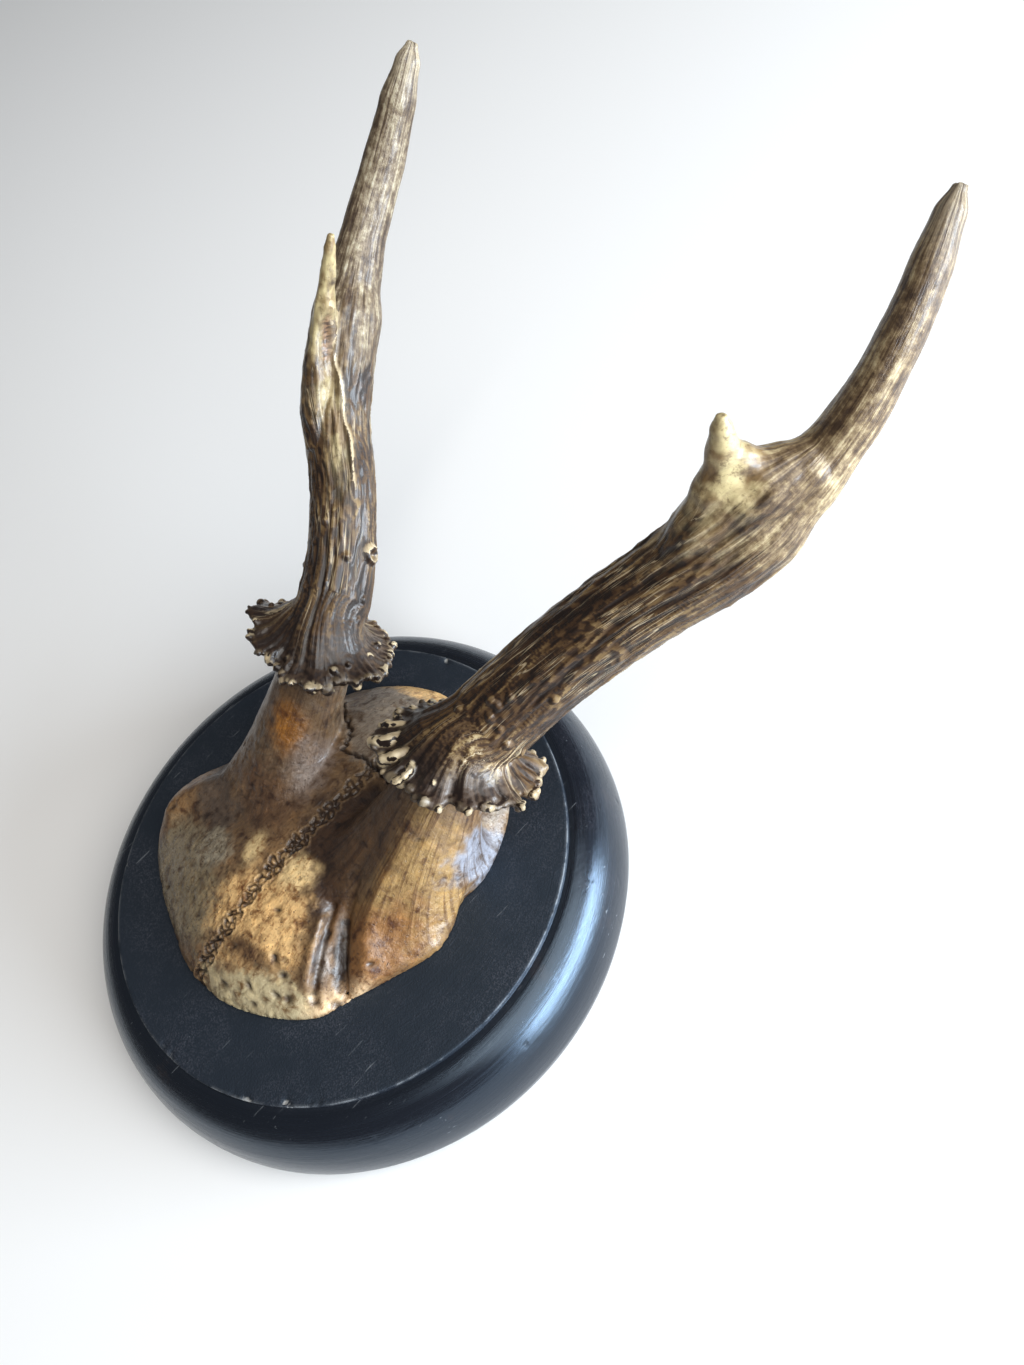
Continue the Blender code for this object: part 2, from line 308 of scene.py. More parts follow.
class Value:
    """What a node puts out. Single numbers can be reckoned with like plain ones."""

    def __init__(self, look, socket):
        self.look, self.socket = look, socket

    def reckoned(self, operation, *terms):
        return self.look.node("Math", dict(enumerate(terms)), operation=operation)

    def __add__(self, other):
        return self.reckoned("ADD", self, other)

    def __sub__(self, other):
        return self.reckoned("SUBTRACT", self, other)

    def __rsub__(self, other):
        return self.reckoned("SUBTRACT", other, self)

    def __mul__(self, other):
        return self.reckoned("MULTIPLY", self, other)

    def __abs__(self):
        return self.reckoned("ABSOLUTE", self)

    def or_more(self, other):
        return self.reckoned("MAXIMUM", self, other)

    def step(self, low, high):
        """0 below low, 1 above high, eased in between."""
        inputs = {"Value": self, "From Min": low, "From Max": high}
        return self.look.node("MapRange", inputs, "Result", interpolation_type="SMOOTHSTEP")


class Look:
    """A material under construction, with short calls for the nodes it is made of."""

    def __init__(self, name):
        self.material = bpy.data.materials.new(name)
        self.material.use_nodes = True
        self.tree = self.material.node_tree
        self.shader = self.tree.nodes["Principled BSDF"]
        self.object_place = self.node("TexCoord", {}, "Object")

    def plug(self, socket, value):
        """Links a socket to a value, or sets it to a number, a vector or an opaque colour."""
        if isinstance(value, Value):
            self.tree.links.new(value.socket, socket)
        elif socket.type == "RGBA":
            socket.default_value = (*value, 1.0)
        else:
            socket.default_value = value

    def node(self, kind, inputs, output=0, **settings):
        made = self.tree.nodes.new(f"ShaderNode{kind}")
        for name, value in settings.items():
            setattr(made, name, value)
        for key, value in inputs.items():
            self.plug(made.inputs[key], value)
        return Value(self, made.outputs[output])

    def attribute(self, name, output="Fac"):
        return self.node("Attribute", {}, output, attribute_name=name)

    def attributes(self, names):
        return (self.attribute(name) for name in names.split())

    def noise(self, vector, scale, detail=4.0, roughness=0.55, distortion=0.0, stretch=None):
        """Cloudy noise, squeezed along each axis by stretch."""
        if stretch:
            vector = self.node("Mapping", {"Vector": vector, "Scale": stretch})
        inputs = {"Vector": vector, "Scale": scale, "Detail": detail, "Roughness": roughness,
                  "Distortion": distortion}
        return self.node("TexNoise", inputs, "Fac")

    def ramp(self, factor, *stops):
        made = self.node("ValToRGB", {"Fac": factor}, "Color")
        marks = made.socket.node.color_ramp.elements
        for place, _ in stops[2:]:
            marks.new(place)
        for mark, (place, colour) in zip(marks, stops):
            mark.position, mark.color = place, (*colour, 1.0)
        return made

    def mix(self, factor, a, b, blend="MIX"):
        """Colours a and b, mixed or multiplied by factor."""
        return self.node("Mix", {0: factor, 6: a, 7: b}, 2, data_type="RGBA", blend_type=blend)

    def finish(self, colour, roughness, height=None, strength=0.0, distance=0.0, **fixed):
        """Wires the shader, roughened by height; fixed sets sockets that are the same all over."""
        inputs = {"Base Color": colour, "Roughness": roughness}
        if height is not None:
            bump = {"Height": height, "Strength": strength, "Distance": distance}
            inputs["Normal"] = self.node("Bump", bump, "Normal")
        inputs.update((name.replace("_", " "), value) for name, value in fixed.items())
        for name, value in inputs.items():
            self.plug(self.shader.inputs[name], value)
        return self.material


# ---------------------------------------------------------------- antlers

WIDE_WAY = np.array([0.85, 0.0, -0.53])
CORONET_WAY = unit(np.array([0.05, 0.52, 0.85]))
PEDICLE_TOP = np.array([26.8, 34.5, 30.0])
ROUTES = {
    "right": [
        (26.8, 34.5, 30.0), (32.9, 51.2, 40.0), (41.9, 67.5, 50.8), (53.0, 84.6, 61.2),
        (64.6, 102.0, 71.2), (71.6, 117.2, 82.8), (74.2, 133.0, 97.2), (72.4, 150.0, 113.7),
    ],
    "left": [
        (26.8, 34.5, 30.0), (33.1, 50.6, 38.8), (42.7, 65.1, 47.5), (54.0, 77.6, 56.5),
        (63.0, 91.5, 66.5), (70.2, 110.9, 80.0), (72.4, 131.0, 95.7), (71.2, 148.9, 114.3),
    ],
}
# Along a beam from coronet (0) to tip (1): half its width along WIDE_WAY and across it.
BEAM_WIDTHS = [
    (0.00, 11.0, 10.5), (0.06, 10.2, 9.2), (0.20, 9.7, 8.3), (0.40, 9.7, 8.3), (0.50, 10.4, 8.8),
    (0.57, 9.8, 8.8), (0.64, 7.0, 7.0), (0.72, 5.3, 6.0), (0.82, 4.4, 5.6), (0.91, 3.8, 4.6),
    (0.97, 2.8, 3.1), (1.00, 1.2, 1.3),
]
FORK_AT = 0.545
# Front tines, from deep inside the beam to the tip: along the beam from the fork, towards the
# forehead's front, and sideways; then half widths sideways and in the plane of the fork.
TINE_LINES = {
    "right": [(-19, 0, 0), (-8, 3.6, 0), (1, 8.6, 0), (6.9, 14.9, 0), (10.6, 20.9, 0), (13.6, 25.7, 0)],
    "left": [
        (-20, 2.5, 3.0), (-8, 5.5, 4.0), (4, 8.5, 3.8), (12, 12.8, 2.7), (19.7, 18.6, 1.3),
        (26.6, 25.0, 0.0),
    ],
}
TINE_FRONT = {"right": (-0.355, -0.275, 0.892), "left": (-0.557, -0.223, 0.802)}
TINE_WIDTHS = {
    "right": [
        (0.0, 6.8, 7.2), (0.2, 6.8, 7.6), (0.4, 6.4, 8.0), (0.6, 5.0, 6.4), (0.8, 3.3, 3.7),
        (0.93, 2.4, 2.3), (1.0, 1.1, 1.1),
    ],
    "left": [
        (0.0, 3.6, 6.0), (0.2, 4.0, 6.0), (0.4, 3.7, 5.4), (0.6, 2.9, 4.0), (0.8, 2.1, 2.6),
        (0.93, 1.6, 1.8), (1.0, 0.9, 0.9),
    ],
}
# Balls that fill the fork of the right antler: along the beam, towards the front, radius.
WEB = [(6.0, 6.8, 7.6), (10.5, 6.9, 7.2), (13.5, 5.9, 6.6), (17.5, 3.9, 6.2), (10.0, 15.5, 3.6),
       (10.5, 13.2, 3.8), (12.1, 9.9, 4.2), (15.1, 6.9, 5.0)]
CORONET_WIDE, CORONET_DEEP = 20.0, 16.5
# The collar's skirt, from its underside round the rim and up the beam: share of the full
# radius, height, how far the rim's raggedness is followed, and how far its flares are.
SKIRT = [
    (0.50, 0.0, 0.0, 0.0), (0.66, 0.3, 0.2, 0.3), (0.84, 0.0, 0.8, 0.8), (0.93, 0.1, 1.0, 1.0),
    (0.955, 0.9, 1.0, 1.0), (0.92, 1.6, 0.95, 0.98), (0.83, 2.4, 0.7, 0.9), (0.73, 3.6, 0.45, 0.75),
    (0.64, 5.4, 0.25, 0.6), (0.565, 8.0, 0.12, 0.4), (0.50, 12.0, 0.05, 0.2), (0.42, 17.0, 0.0, 0.0),
]
RIM_RING = 4  # the ring of SKIRT that reaches furthest out
TURN_START, TURN_LENGTH = 3.0, 12.0  # where the beam turns from CORONET_WAY to its route


class Stem:
    """A tapered stem: its line, its frame and its half widths at many stations."""

    def __init__(self, centres, ways, wide_way, widths):
        steps = np.linalg.norm(np.diff(centres, axis=0), axis=1)
        self.along = np.concatenate([[0.0], np.cumsum(steps)])
        self.centres, self.ways = centres, unit(ways)
        self.wides = unit(wide_way - self.ways * (self.ways @ wide_way)[:, None])
        self.deeps = np.cross(self.ways, self.wides)
        t = self.along / self.along[-1]
        self.half_wide, self.half_deep = (column(widths, t, k) for k in (1, 2))

    def solid(self, sides=40):
        return tube(self.centres, self.wides, self.deeps, self.half_wide, self.half_deep, sides)

    def around(self, points):
        """For each point: distance along the stem, angle round it, and depth, 1 on its surface."""
        along, angle, depth = np.empty((3, len(points)))
        for start in range(0, len(points), 8192):
            part = points[start:start + 8192]
            i = ((part[:, None, :] - self.centres[None]) ** 2).sum(2).argmin(1)
            off = part - self.centres[i]
            w, d = (off * self.wides[i]).sum(1), (off * self.deeps[i]).sum(1)
            forward = (off * self.ways[i]).sum(1)
            rows = slice(start, start + len(part))
            along[rows] = self.along[i] + forward
            angle[rows] = np.arctan2(d, w)
            depth[rows] = np.sqrt((w / self.half_wide[i]) ** 2 + (d / self.half_deep[i]) ** 2
                                  + np.where((i == len(self.centres) - 1) | (i == 0),
                                             (forward / self.half_wide[i]) ** 2, 0))
        return along, angle, depth

    def point(self, along, angle, depth=1.0):
        """The point at a distance along the stem and an angle round it."""
        i = int(np.abs(self.along - along).argmin())
        across = self.wides[i] * math.cos(angle) * self.half_wide[i]
        return self.centres[i] + (across + self.deeps[i] * math.sin(angle) * self.half_deep[i]) * depth


def beam_of(name):
    t = np.linspace(0, 1, 261)
    line = through(ROUTES[name], t)
    length = np.linalg.norm(np.diff(line, axis=0), axis=1).sum()
    ways = unit(np.gradient(line, axis=0))
    turned_by = eased((t * length - TURN_START) / TURN_LENGTH)[:, None]
    start = PEDICLE_TOP + CORONET_WAY * (GAP + t * length)[:, None]
    return Stem(start * (1 - turned_by) + line * turned_by,
                CORONET_WAY * (1 - turned_by) + ways * turned_by, WIDE_WAY, BEAM_WIDTHS)


def tine_of(name, beam):
    i = int(FORK_AT * (len(beam.centres) - 1))
    way = beam.ways[i]
    front = np.array(TINE_FRONT[name])
    front = unit(front - way * (front @ way))
    side_way = np.cross(way, front)
    line = np.array(TINE_LINES[name], float)
    knots = beam.centres[i] + line[:, :1] * way + line[:, 1:2] * front + line[:, 2:] * side_way
    centres = through(knots, np.linspace(0, 1, 90))
    return Stem(centres, np.gradient(centres, axis=0), side_way, TINE_WIDTHS[name])


def coronet_pieces(random, beam, flare):
    """The ruffled collar: a flared skirt round the beam's foot, lobes round its rim, and pearls.

    Returns the solids, the pearls, each (centre, radius), and a way to place more of them.
    flare stretches the rim towards chosen angles: (angle, width, stretch, lift).
    """
    way = CORONET_WAY

    def frame_at(height):
        i = int(np.abs(beam.along - max(height, 0.0)).argmin())
        return beam.centres[i] + way * min(height, 0.0), beam.wides[i], beam.deeps[i], beam.ways[i]

    sides = 180
    a = np.linspace(0, math.tau, sides, endpoint=False)
    circle = np.stack([np.cos(a), np.sin(a), np.zeros(sides)], 1) * 3.0
    count = 24
    lobes = math.tau * (np.arange(count) + random.uniform(-0.30, 0.30, count)) / count
    reach_of = random.uniform(-0.08, 0.06, count)
    lift_of = random.uniform(-0.9, 1.3, count)
    apart = np.abs(np.angle(np.exp(1j * (a[:, None] - lobes[None]))))
    nearest = apart.argmin(1)
    petal = np.cos(np.clip(apart.min(1) / 0.155, 0, 1) * math.pi / 2) ** 0.7

    def stretch(angle):
        grown, lifted = 0.0, 0.0
        for centre, width, far, up in flare:
            near = bump(np.angle(np.exp(1j * (angle - centre))), width)
            grown, lifted = grown + far * near, lifted + up * near
        return grown, lifted

    grown, lifted = stretch(a)
    ragged = 0.08 * noise(circle, 0.6, 6) + reach_of[nearest] * petal + 0.075 * (petal - 0.5)
    ruffle = 1.1 * noise(circle, 0.9, 8) + lift_of[nearest] * petal * 0.8
    ripple = 0.022 * noise(circle, 0.20, 9)
    rings = []
    for share, height, follow, flared in SKIRT:
        middle, wide, deep, up = frame_at(height)
        reach = share + ragged * follow + grown * flared + ripple * (0.2 + follow)
        out = wide * (np.cos(a) * CORONET_WIDE * reach)[:, None]
        out = out + deep * (np.sin(a) * CORONET_DEEP * reach)[:, None]
        rings.append(middle + out + up * (ruffle * follow + lifted * flared)[:, None])
    pieces, pearls = [(np.concatenate(rings), closed_walls(len(rings), sides))], []

    def place(angle, share, height):
        grown, lifted = stretch(angle)
        middle, wide, deep, up = frame_at(height)
        out = wide * math.cos(angle) * CORONET_WIDE + deep * math.sin(angle) * CORONET_DEEP
        upper = np.array(SKIRT[:RIM_RING - 1:-1])
        flared = np.interp(share, upper[:, 0], upper[:, 3])
        return middle + out * (share + grown * flared) + up * lifted * flared

    for k in range(count):
        size = random.choice((0.3, 0.55, 0.8, 1.0, 1.3))
        share = SKIRT[RIM_RING][0] + reach_of[k] + random.uniform(-0.03, 0.02)
        up = 0.5 + lift_of[k] * 0.9
        line = np.array([
            place(lobes[k], 0.60, 5.6), place(lobes[k], 0.71, 3.5 + up * 0.2),
            place(lobes[k], 0.84, 2.0 + up * 0.5), place(lobes[k], share, up),
        ])
        stations = through(line, np.linspace(0, 1, 9))
        ways = unit(np.gradient(stations, axis=0))
        across = unit(np.cross(ways, way))
        thick = np.linspace(0.3, 1.30, 9) * size
        pieces.append(tube(stations, across, np.cross(ways, across), thick, thick * 0.8, 10))
        pearls.append((line[-1], random.uniform(0.9, 1.45) * (0.35 + 0.65 * size)))
        if random.random() < 0.7:
            beside = lobes[k] + random.uniform(-0.13, 0.13)
            low = place(beside, share - random.uniform(0.0, 0.07), up - random.uniform(0.3, 1.3))
            pearls.append((low, random.uniform(0.6, 1.1)))
        if random.random() < 0.5:
            beside = lobes[k] + random.uniform(-0.13, 0.13)
            high = place(beside, random.uniform(0.72, 0.86), random.uniform(2.4, 4.4))
            pearls.append((high, random.uniform(0.5, 0.95)))
    # Small knobs crowd the rim between the lobes.
    rim = rings[RIM_RING]
    for turn in (np.arange(48) + random.uniform(-0.35, 0.35, 48)) / 48:
        knob = rim[int(turn * sides) % sides] + random.uniform(-0.45, 0.45, 3)
        pearls.append((knob, random.uniform(0.65, 1.30)))
    for centre, radius in pearls:
        pieces.append(blob(centre, radius, random.uniform(0.75, 1.2, 3)))
    return pieces, pearls, place


def antler_mesh(name):
    """The whole antler as one skin, with what its material needs to know at each point."""
    right = name == "right"
    seed = 100 if right else 500
    random = np.random.default_rng(seed)
    beam = beam_of(name)
    tine = tine_of(name, beam)
    if right:
        flare = [(2.2, 0.5, 0.05, 1.0), (0.55, 0.40, 0.06, 1.2)]
    else:
        flare = [(-0.95, 0.60, 0.13, 5.6), (2.2, 0.5, 0.04, -1.0)]
    collar_pieces, pearls, place = coronet_pieces(random, beam, flare)
    pieces = [beam.solid(), tine.solid(), *collar_pieces]
    lobes = []
    if right:
        # Long pale lobes lie over the inner side of the collar, and a web fills the fork.
        for angle, size, inner, outer in ((3.28, 1.0, 0.74, 0.99), (3.66, 1.5, 0.70, 1.0),
                                          (3.98, 1.25, 0.56, 0.93), (4.40, 0.9, 0.72, 1.0)):
            line = through([place(angle - 0.05, inner, 6.0 - 3.6 * inner),
                            place(angle + 0.04, 0.5 * (inner + outer), 2.9),
                            place(angle, outer, 1.0)], np.linspace(0, 1, 9))
            swell = random.uniform(0.75, 1.1, 9)
            lobes += [(centre, size * grown) for centre, grown in zip(line, swell)]
        i = int(FORK_AT * (len(beam.centres) - 1))
        front = np.array(TINE_FRONT[name])
        for forward, up, size in WEB:
            pieces.append(blob(beam.centres[i] + beam.ways[i] * forward + front * up, size, sides=24))
    pieces += [blob(centre, size) for centre, size in lobes]
    for _ in range(26):
        place_of = beam.point(random.uniform(7, 34), random.uniform(0, math.tau), 0.97)
        pieces.append(blob(place_of, random.uniform(0.6, 1.15)))
    pieces = [(points + LIFT, faces) for points, faces in pieces]
    made = remeshed(f"{name}_antler", pieces, 0.42)
    points = points_of(made) - LIFT
    edges = edges_of(made)

    # Soften the web of the fork, and everything a little.
    along_tine = tine.around(points)[0]
    fork = tine.centres[np.abs(tine.along - tine.along[-1] * 0.52).argmin()]
    web = np.clip(bump(np.linalg.norm(points - fork, axis=1), 15.0 if right else 7.0) - 0.05, 0, 1)
    web = web * (1 - between(along_tine / tine.along[-1], 0.55, 0.98))
    near = (web[edges] > 0).any(1)
    points = smoothed(points, edges[near], 90 if right else 60, web)
    points = smoothed(points, edges, 1)

    along_beam, angle_beam, depth_beam = beam.around(points)
    along_tine, angle_tine, depth_tine = tine.around(points)
    on_tine = between(depth_beam - depth_tine, -0.3, 0.3)
    on_tine = on_tine * between(along_tine / tine.along[-1], 0.10, 0.30)
    flow = np.column_stack([
        np.cos(angle_beam) * 9.0, np.sin(angle_beam) * 9.0, along_beam + (depth_beam - 1) * 7.0])
    ripe = along_beam / beam.along[-1]
    pale_tine = between(along_tine / tine.along[-1], 0.25, 0.95) * between(depth_beam - depth_tine, -0.5, 0.3)
    ripe = np.maximum(ripe, pale_tine * (0.92 if right else 0.80))
    collar = 1 - between(along_beam + 2.0 * noise(flow * (1, 1, 0.25), 3.0, seed + 7), 3.0, 12.0)

    # Long wavering ridges, strongest on the lower beam and gone near the tips.
    warp = noise(flow * (1, 1, 0.35), 5.0, seed)[:, None] * (1.1, 1.1, 0)
    warp = warp + noise(flow * (1, 1, 0.2), 3.0, seed + 8)[:, None] * (0, 0, 0.8)
    ridge = 1 - np.abs(noise(flow * (1.0, 1.0, 0.07) + warp, 1.45, seed + 1)) * 2.4
    fine = 1 - np.abs(noise(flow * (1, 1, 0.12) + warp, 0.75, seed + 2)) * 2.2
    beads = noise(flow * (1, 1, 0.45), 1.1, seed + 3)
    strength = (1 - between(ripe, 0.45, 0.78)) * (1 - 0.75 * collar)
    rise = strength * (0.27 * ridge + 0.17 * fine + 0.12 * beads)
    rise = rise + 0.07 * fine * (1 - strength) + 0.35 * noise(flow, 13.0, seed + 4) * (1 - collar)
    rise = rise + 0.28 * noise(flow * (1, 1, 0.4), 5.5, seed + 6) * (1 - collar) * (1 - ripe)
    rise = rise + 0.24 * collar * rough(points, 1.5, seed + 12)
    hollow, welt, streak = np.zeros((3, len(points)))
    if not right:
        # A pitted gutter with raised pale edges runs down the front of the spike.
        away = np.abs(np.angle(np.exp(1j * (angle_tine + 2.15))))
        span = between(along_tine, 17, 24) * (1 - between(along_tine, 32, 37)) * on_tine
        hollow = bump(away, 0.42) * span
        rise = rise - hollow * (1.0 + 0.35 * rough(points, 1.6, 77)) + 0.35 * span * bump(away - 0.75, 0.22)
        # Below it a pale streak, and a thin welt that winds down the front of the beam.
        winding = np.interp(along_beam, (43, 53, 67, 79, 86), (3.16, 3.14, 3.36, 3.60, 3.65))
        off = np.angle(np.exp(1j * (angle_beam - winding)))
        span = between(along_beam, 36, 46) * (1 - between(along_beam, 86, 92))
        welt = span * bump(off + 0.05 * noise(flow * (0, 0, 1), 5.0, 78), 0.06)
        rise = rise + 0.45 * welt
        streak = between(along_beam, 34, 58) * (1 - between(along_beam, 84, 90)) * bump(off - 0.32, 0.30)
        # One knob stands on the inner side, with a pit in it.
        knob_away = np.linalg.norm(points - beam.point(26.5, 2.45, 1.0), axis=1)
        rise = rise + 1.3 * bump(knob_away, 2.3) + 0.6 * bump(knob_away - 2.0, 0.6)
        rise = rise - 1.9 * bump(knob_away, 1.0)
        welt = np.maximum(welt, bump(knob_away - 2.2, 0.7))
    points = points + normals_of(made) * rise[:, None]

    set_points(made, points + LIFT)
    height = (points * normals_of(made)).sum(1)
    proud = height - smoothed(height, edges, 14, pull=0.5)
    pearl = welt
    paleness = [random.choice((0.08, 0.25, 0.55, 1.0)) for _ in pearls] + [0.9] * len(lobes)
    for (centre, size), pale in zip(pearls + lobes, paleness):
        near = 1 - between(np.linalg.norm(points - centre, axis=1), size * 0.85, size * 1.5)
        pearl = np.maximum(pearl, near * pale)
    store(made, "crest", np.clip(0.5 + 0.5 * (0.62 * ridge + 0.38 * fine), 0, 1))
    store(made, "ripe", ripe)
    store(made, "flow", flow)
    store(made, "collar", collar)
    store(made, "pearl", pearl)
    store(made, "proud", np.clip(0.5 + proud * 0.45, 0, 1))
    # The front tine and the web of the fork are the palest parts.
    tine_share = along_tine / tine.along[-1]
    crown = between(tine_share, 0.48, 0.72) * between(depth_beam - depth_tine, -0.45, 0.25)
    if right:
        crown = np.maximum(crown, 0.75 * bump(np.linalg.norm(points - fork, axis=1), 6.0))
    crown = np.maximum(crown, 0.8 * streak)
    store(made, "crown", crown)
    store(made, "hollow", hollow)
    # Painted shade darkens the outer wing of the left collar, on the side turned from the light; the right
    # collar is darkened evenly all round.
    wing = 0.60 if right else 1.5 * bump(np.angle(np.exp(1j * (angle_beam + 1.0))), 0.9)
    store(made, "shaded", wing * (1 - between(along_beam, 12, 26)))
    if not right:
        set_points(made, points * (-1, 1, 1) + LIFT)
        made.flip_normals()
    made.shade_smooth()
    return made


def antler_look(name, pale_from, pale_to, ivory, cast):
    """Dark grooved bark that turns pale towards the tips, where ripe passes pale_from to pale_to."""
    look = Look(f"{name}_antler_surface")
    flow = look.attribute("flow", "Vector")
    crest, ripe, collar, pearl, proud, hollow, crown, shaded = look.attributes(
        "crest ripe collar pearl proud hollow crown shaded")
    streaks = look.noise(flow, 0.62, 7.0, 0.62, 0.3, stretch=(1.0, 1.0, 0.10))
    fibres = look.noise(flow, 1.7, 5.0, 0.6, stretch=(1.0, 1.0, 0.045))
    blotches = look.noise(flow, 0.11, 4.0, 0.6, stretch=(1.0, 1.0, 0.5))
    stipple = look.noise(flow, 1.5, 5.0, 0.7, stretch=(1.0, 1.0, 0.6))

    dark = look.ramp(
        crest * 0.55 + streaks * 0.95 + blotches * 0.7 + proud * 0.30 - 0.90,
        (0.22, (0.012, 0.0055, 0.003)), (0.42, (0.040, 0.019, 0.008)),
        (0.60, (0.085, 0.046, 0.018)), (0.78, (0.20, 0.130, 0.055)), (0.95, (0.42, 0.33, 0.18)),
    )
    # Thin worn lines along the sharpest crests.
    lines = abs(look.noise(flow, 0.85, 2.0, 0.5, 0.5, stretch=(1.0, 1.0, 0.035)) - 0.5)
    lines = (1.0 - lines.step(0.004, 0.020)) * blotches.step(0.44, 0.60)
    dark = look.mix(lines * 0.75, dark, (0.52, 0.42, 0.27))
    mottle = look.noise(look.object_place, 480.0, 6.0, 0.72)
    pale = look.ramp(
        streaks * 0.9 + fibres * 0.5 + mottle * 1.1 + blotches * 0.6 + (ripe - 0.6) * ivory - 1.11,
        (0.22, (0.045, 0.024, 0.012)), (0.40, (0.130, 0.083, 0.042)),
        (0.53, (0.255, 0.185, 0.100)), (0.68, (0.45, 0.37, 0.22)), (0.84, (0.62, 0.55, 0.38)),
    )
    pale = look.mix(stipple.step(0.60, 0.70) * 0.75, pale, (0.085, 0.050, 0.030))
    pale = look.mix(1.0, pale, cast, "MULTIPLY")
    worn = ripe + blotches * 0.45 + streaks * 0.40 - 0.42
    colour = look.mix(worn.step(pale_from, pale_to), dark, pale)

    # The cream of the front tine and of the fork, and the tips.
    spots = look.noise(look.object_place, 700.0, 6.0, 0.7, 0.5)
    cloud = look.noise(look.object_place, 120.0, 3.0, 0.6)
    shade = look.mix(cloud.step(0.40, 0.60), (0.18, 0.110, 0.044), (0.50, 0.410, 0.215))
    shade = look.mix(spots.step(0.52, 0.64) * 0.65, shade, (0.115, 0.070, 0.030))
    colour = look.mix(crown * streaks.step(0.32, 0.52), colour, shade)
    tip = ripe.step(0.90, 0.99) * streaks.step(0.40, 0.58)
    colour = look.mix(tip * 0.6, colour, (0.44, 0.37, 0.26))

    # The dark collar, with painted shade on the left collar's outer wing, its pearls, and the pitted gutter.
    skirt = look.ramp(
        proud * 0.50 + blotches * 1.3 + streaks * 0.7 - shaded * 0.40 - 0.80,
        (0.10, (0.011, 0.005, 0.003)), (0.34, (0.023, 0.012, 0.007)),
        (0.58, (0.040, 0.024, 0.015)), (0.84, (0.085, 0.055, 0.035)),
    )
    colour = look.mix(collar, colour, skirt)
    patchy = look.noise(flow, 0.75, 5.0, 0.7, 0.6).step(0.27, 0.44)
    cap = look.mix(streaks, (0.36, 0.25, 0.13), (0.72, 0.62, 0.42))
    colour = look.mix(proud.step(0.50, 0.74) * pearl * patchy, colour, cap)
    pits = look.noise(flow, 1.1, 3.0).step(0.40, 0.60)
    colour = look.mix(hollow, colour, look.mix(pits, (0.050, 0.024, 0.013), (0.20, 0.115, 0.060)))
    height = fibres * 0.6 + stipple * 0.35 + streaks * 0.8
    return look.finish(colour, streaks * 0.45 + 0.16, height, 0.60, 0.0006,
                       Coat_Weight=0.25, Coat_Roughness=0.14, Specular_IOR_Level=0.4)


# ---------------------------------------------------------------- skull cap

SKULL_CENTRE = np.array([0.0, 4.0])
SKULL_OUTLINE = [
    (0, -46), (10, -44), (22, -38), (31, -30), (34, -22), (38, -12), (42, 0), (41, 7), (38, 13),
    (38, 21), (35, 30), (30, 38), (21, 46), (9, 51), (-9, 51), (-21, 46), (-30, 38), (-35, 30),
    (-38, 20), (-40, 10), (-43, 0), (-45, -13), (-44, -26), (-39, -34), (-29, -39.5), (-18, -43),
    (-8, -45.5),
]
SKULL_HEIGHT = 15.0
SKULL_EDGE = 1.2  # thickness of the bone along its sawn edge
ORBIT_EDGE = 8.5  # thickness where the rim of each eye socket is cut through
ORBIT = (44.0, -17.0)  # where that rim lies, on either side
RIGHT_RIM_SHARE = 0.45  # the +X rim is sawn lower
PEDICLE_FEET = {1: np.array([22.5, 12.0]), -1: np.array([-27.0, 11.5])}
NECK_RADIUS = 9.2
FLARE, INNER_FLARE = 12.5, 6.5
INNER_REAR = unit(np.array([1.0, 0.7]))
# Grooves and ridges of the brow: from, to, height, width.
BROW = [
    ((19.5, -3.5), (33.5, -23.0), -1.5, 4.5), ((19.0, -9.0), (28.5, -27.0), -1.9, 0.8),
    ((27.0, -3.5), (36.5, -16.0), 1.7, 3.0), ((20.0, -13.0), (26.0, -26.0), 1.2, 1.5),
    ((-20.0, -10.0), (-36.0, -21.0), -1.9, 5.5), ((-35.0, -6.0), (-43.0, -22.0), 1.2, 3.5),
]
CORONAL_SEAM = [
    (-27, 30), (-22.5, 27.5), (-17.5, 26.5), (-13.3, 24.0), (-11.5, 20.5), (-6.5, 21.5), (-1, 22.5),
    (6, 22), (13, 23.5), (18, 26.5), (23, 28), (27, 30),
]
# (x, y, radius, how much longer than wide, the angle of the long way)
PITS = [
    (7.7, -41.0, 0.7, 1.8, 0.3), (16.2, -27.2, 0.6, 2.6, -0.4), (20.2, -28.6, 0.8, 1.5, 0.2),
    (21.0, -33.2, 0.6, 2.2, 0.1), (24.0, -31.9, 0.9, 1.1, 0.0), (14.0, -36.5, 0.5, 3.0, -0.2),
    (32.9, -24.4, 1.1, 1.3, 0.9), (29.5, -27.5, 0.9, 1.0, 0.0), (17.0, -39.0, 0.6, 1.6, 0.6),
    (-42.0, -22.0, 0.9, 1.4, 1.2), (-27.0, -37.0, 0.5, 1.5, 0.8), (5.0, -33.0, 0.5, 1.6, 1.2),
    (9.0, -19.0, 0.5, 1.8, 0.5), (-15.0, -33.0, 0.4, 1.8, 1.5), (35.0, -12.0, 0.5, 2.0, 1.1),
]
TAN = (0.16, 0.095, 0.045)
CREAM = (0.43, 0.35, 0.205)
OCHRE = (0.68, 0.43, 0.185)
AMBER = (0.27, 0.115, 0.022)
RUST = (0.21, 0.100, 0.034)
GOLD = (0.265, 0.165, 0.063)
UMBER = (0.050, 0.024, 0.011)
OLIVE = (0.20, 0.155, 0.090)
SLATE = (0.235, 0.190, 0.145)
ASH = (0.225, 0.235, 0.275)
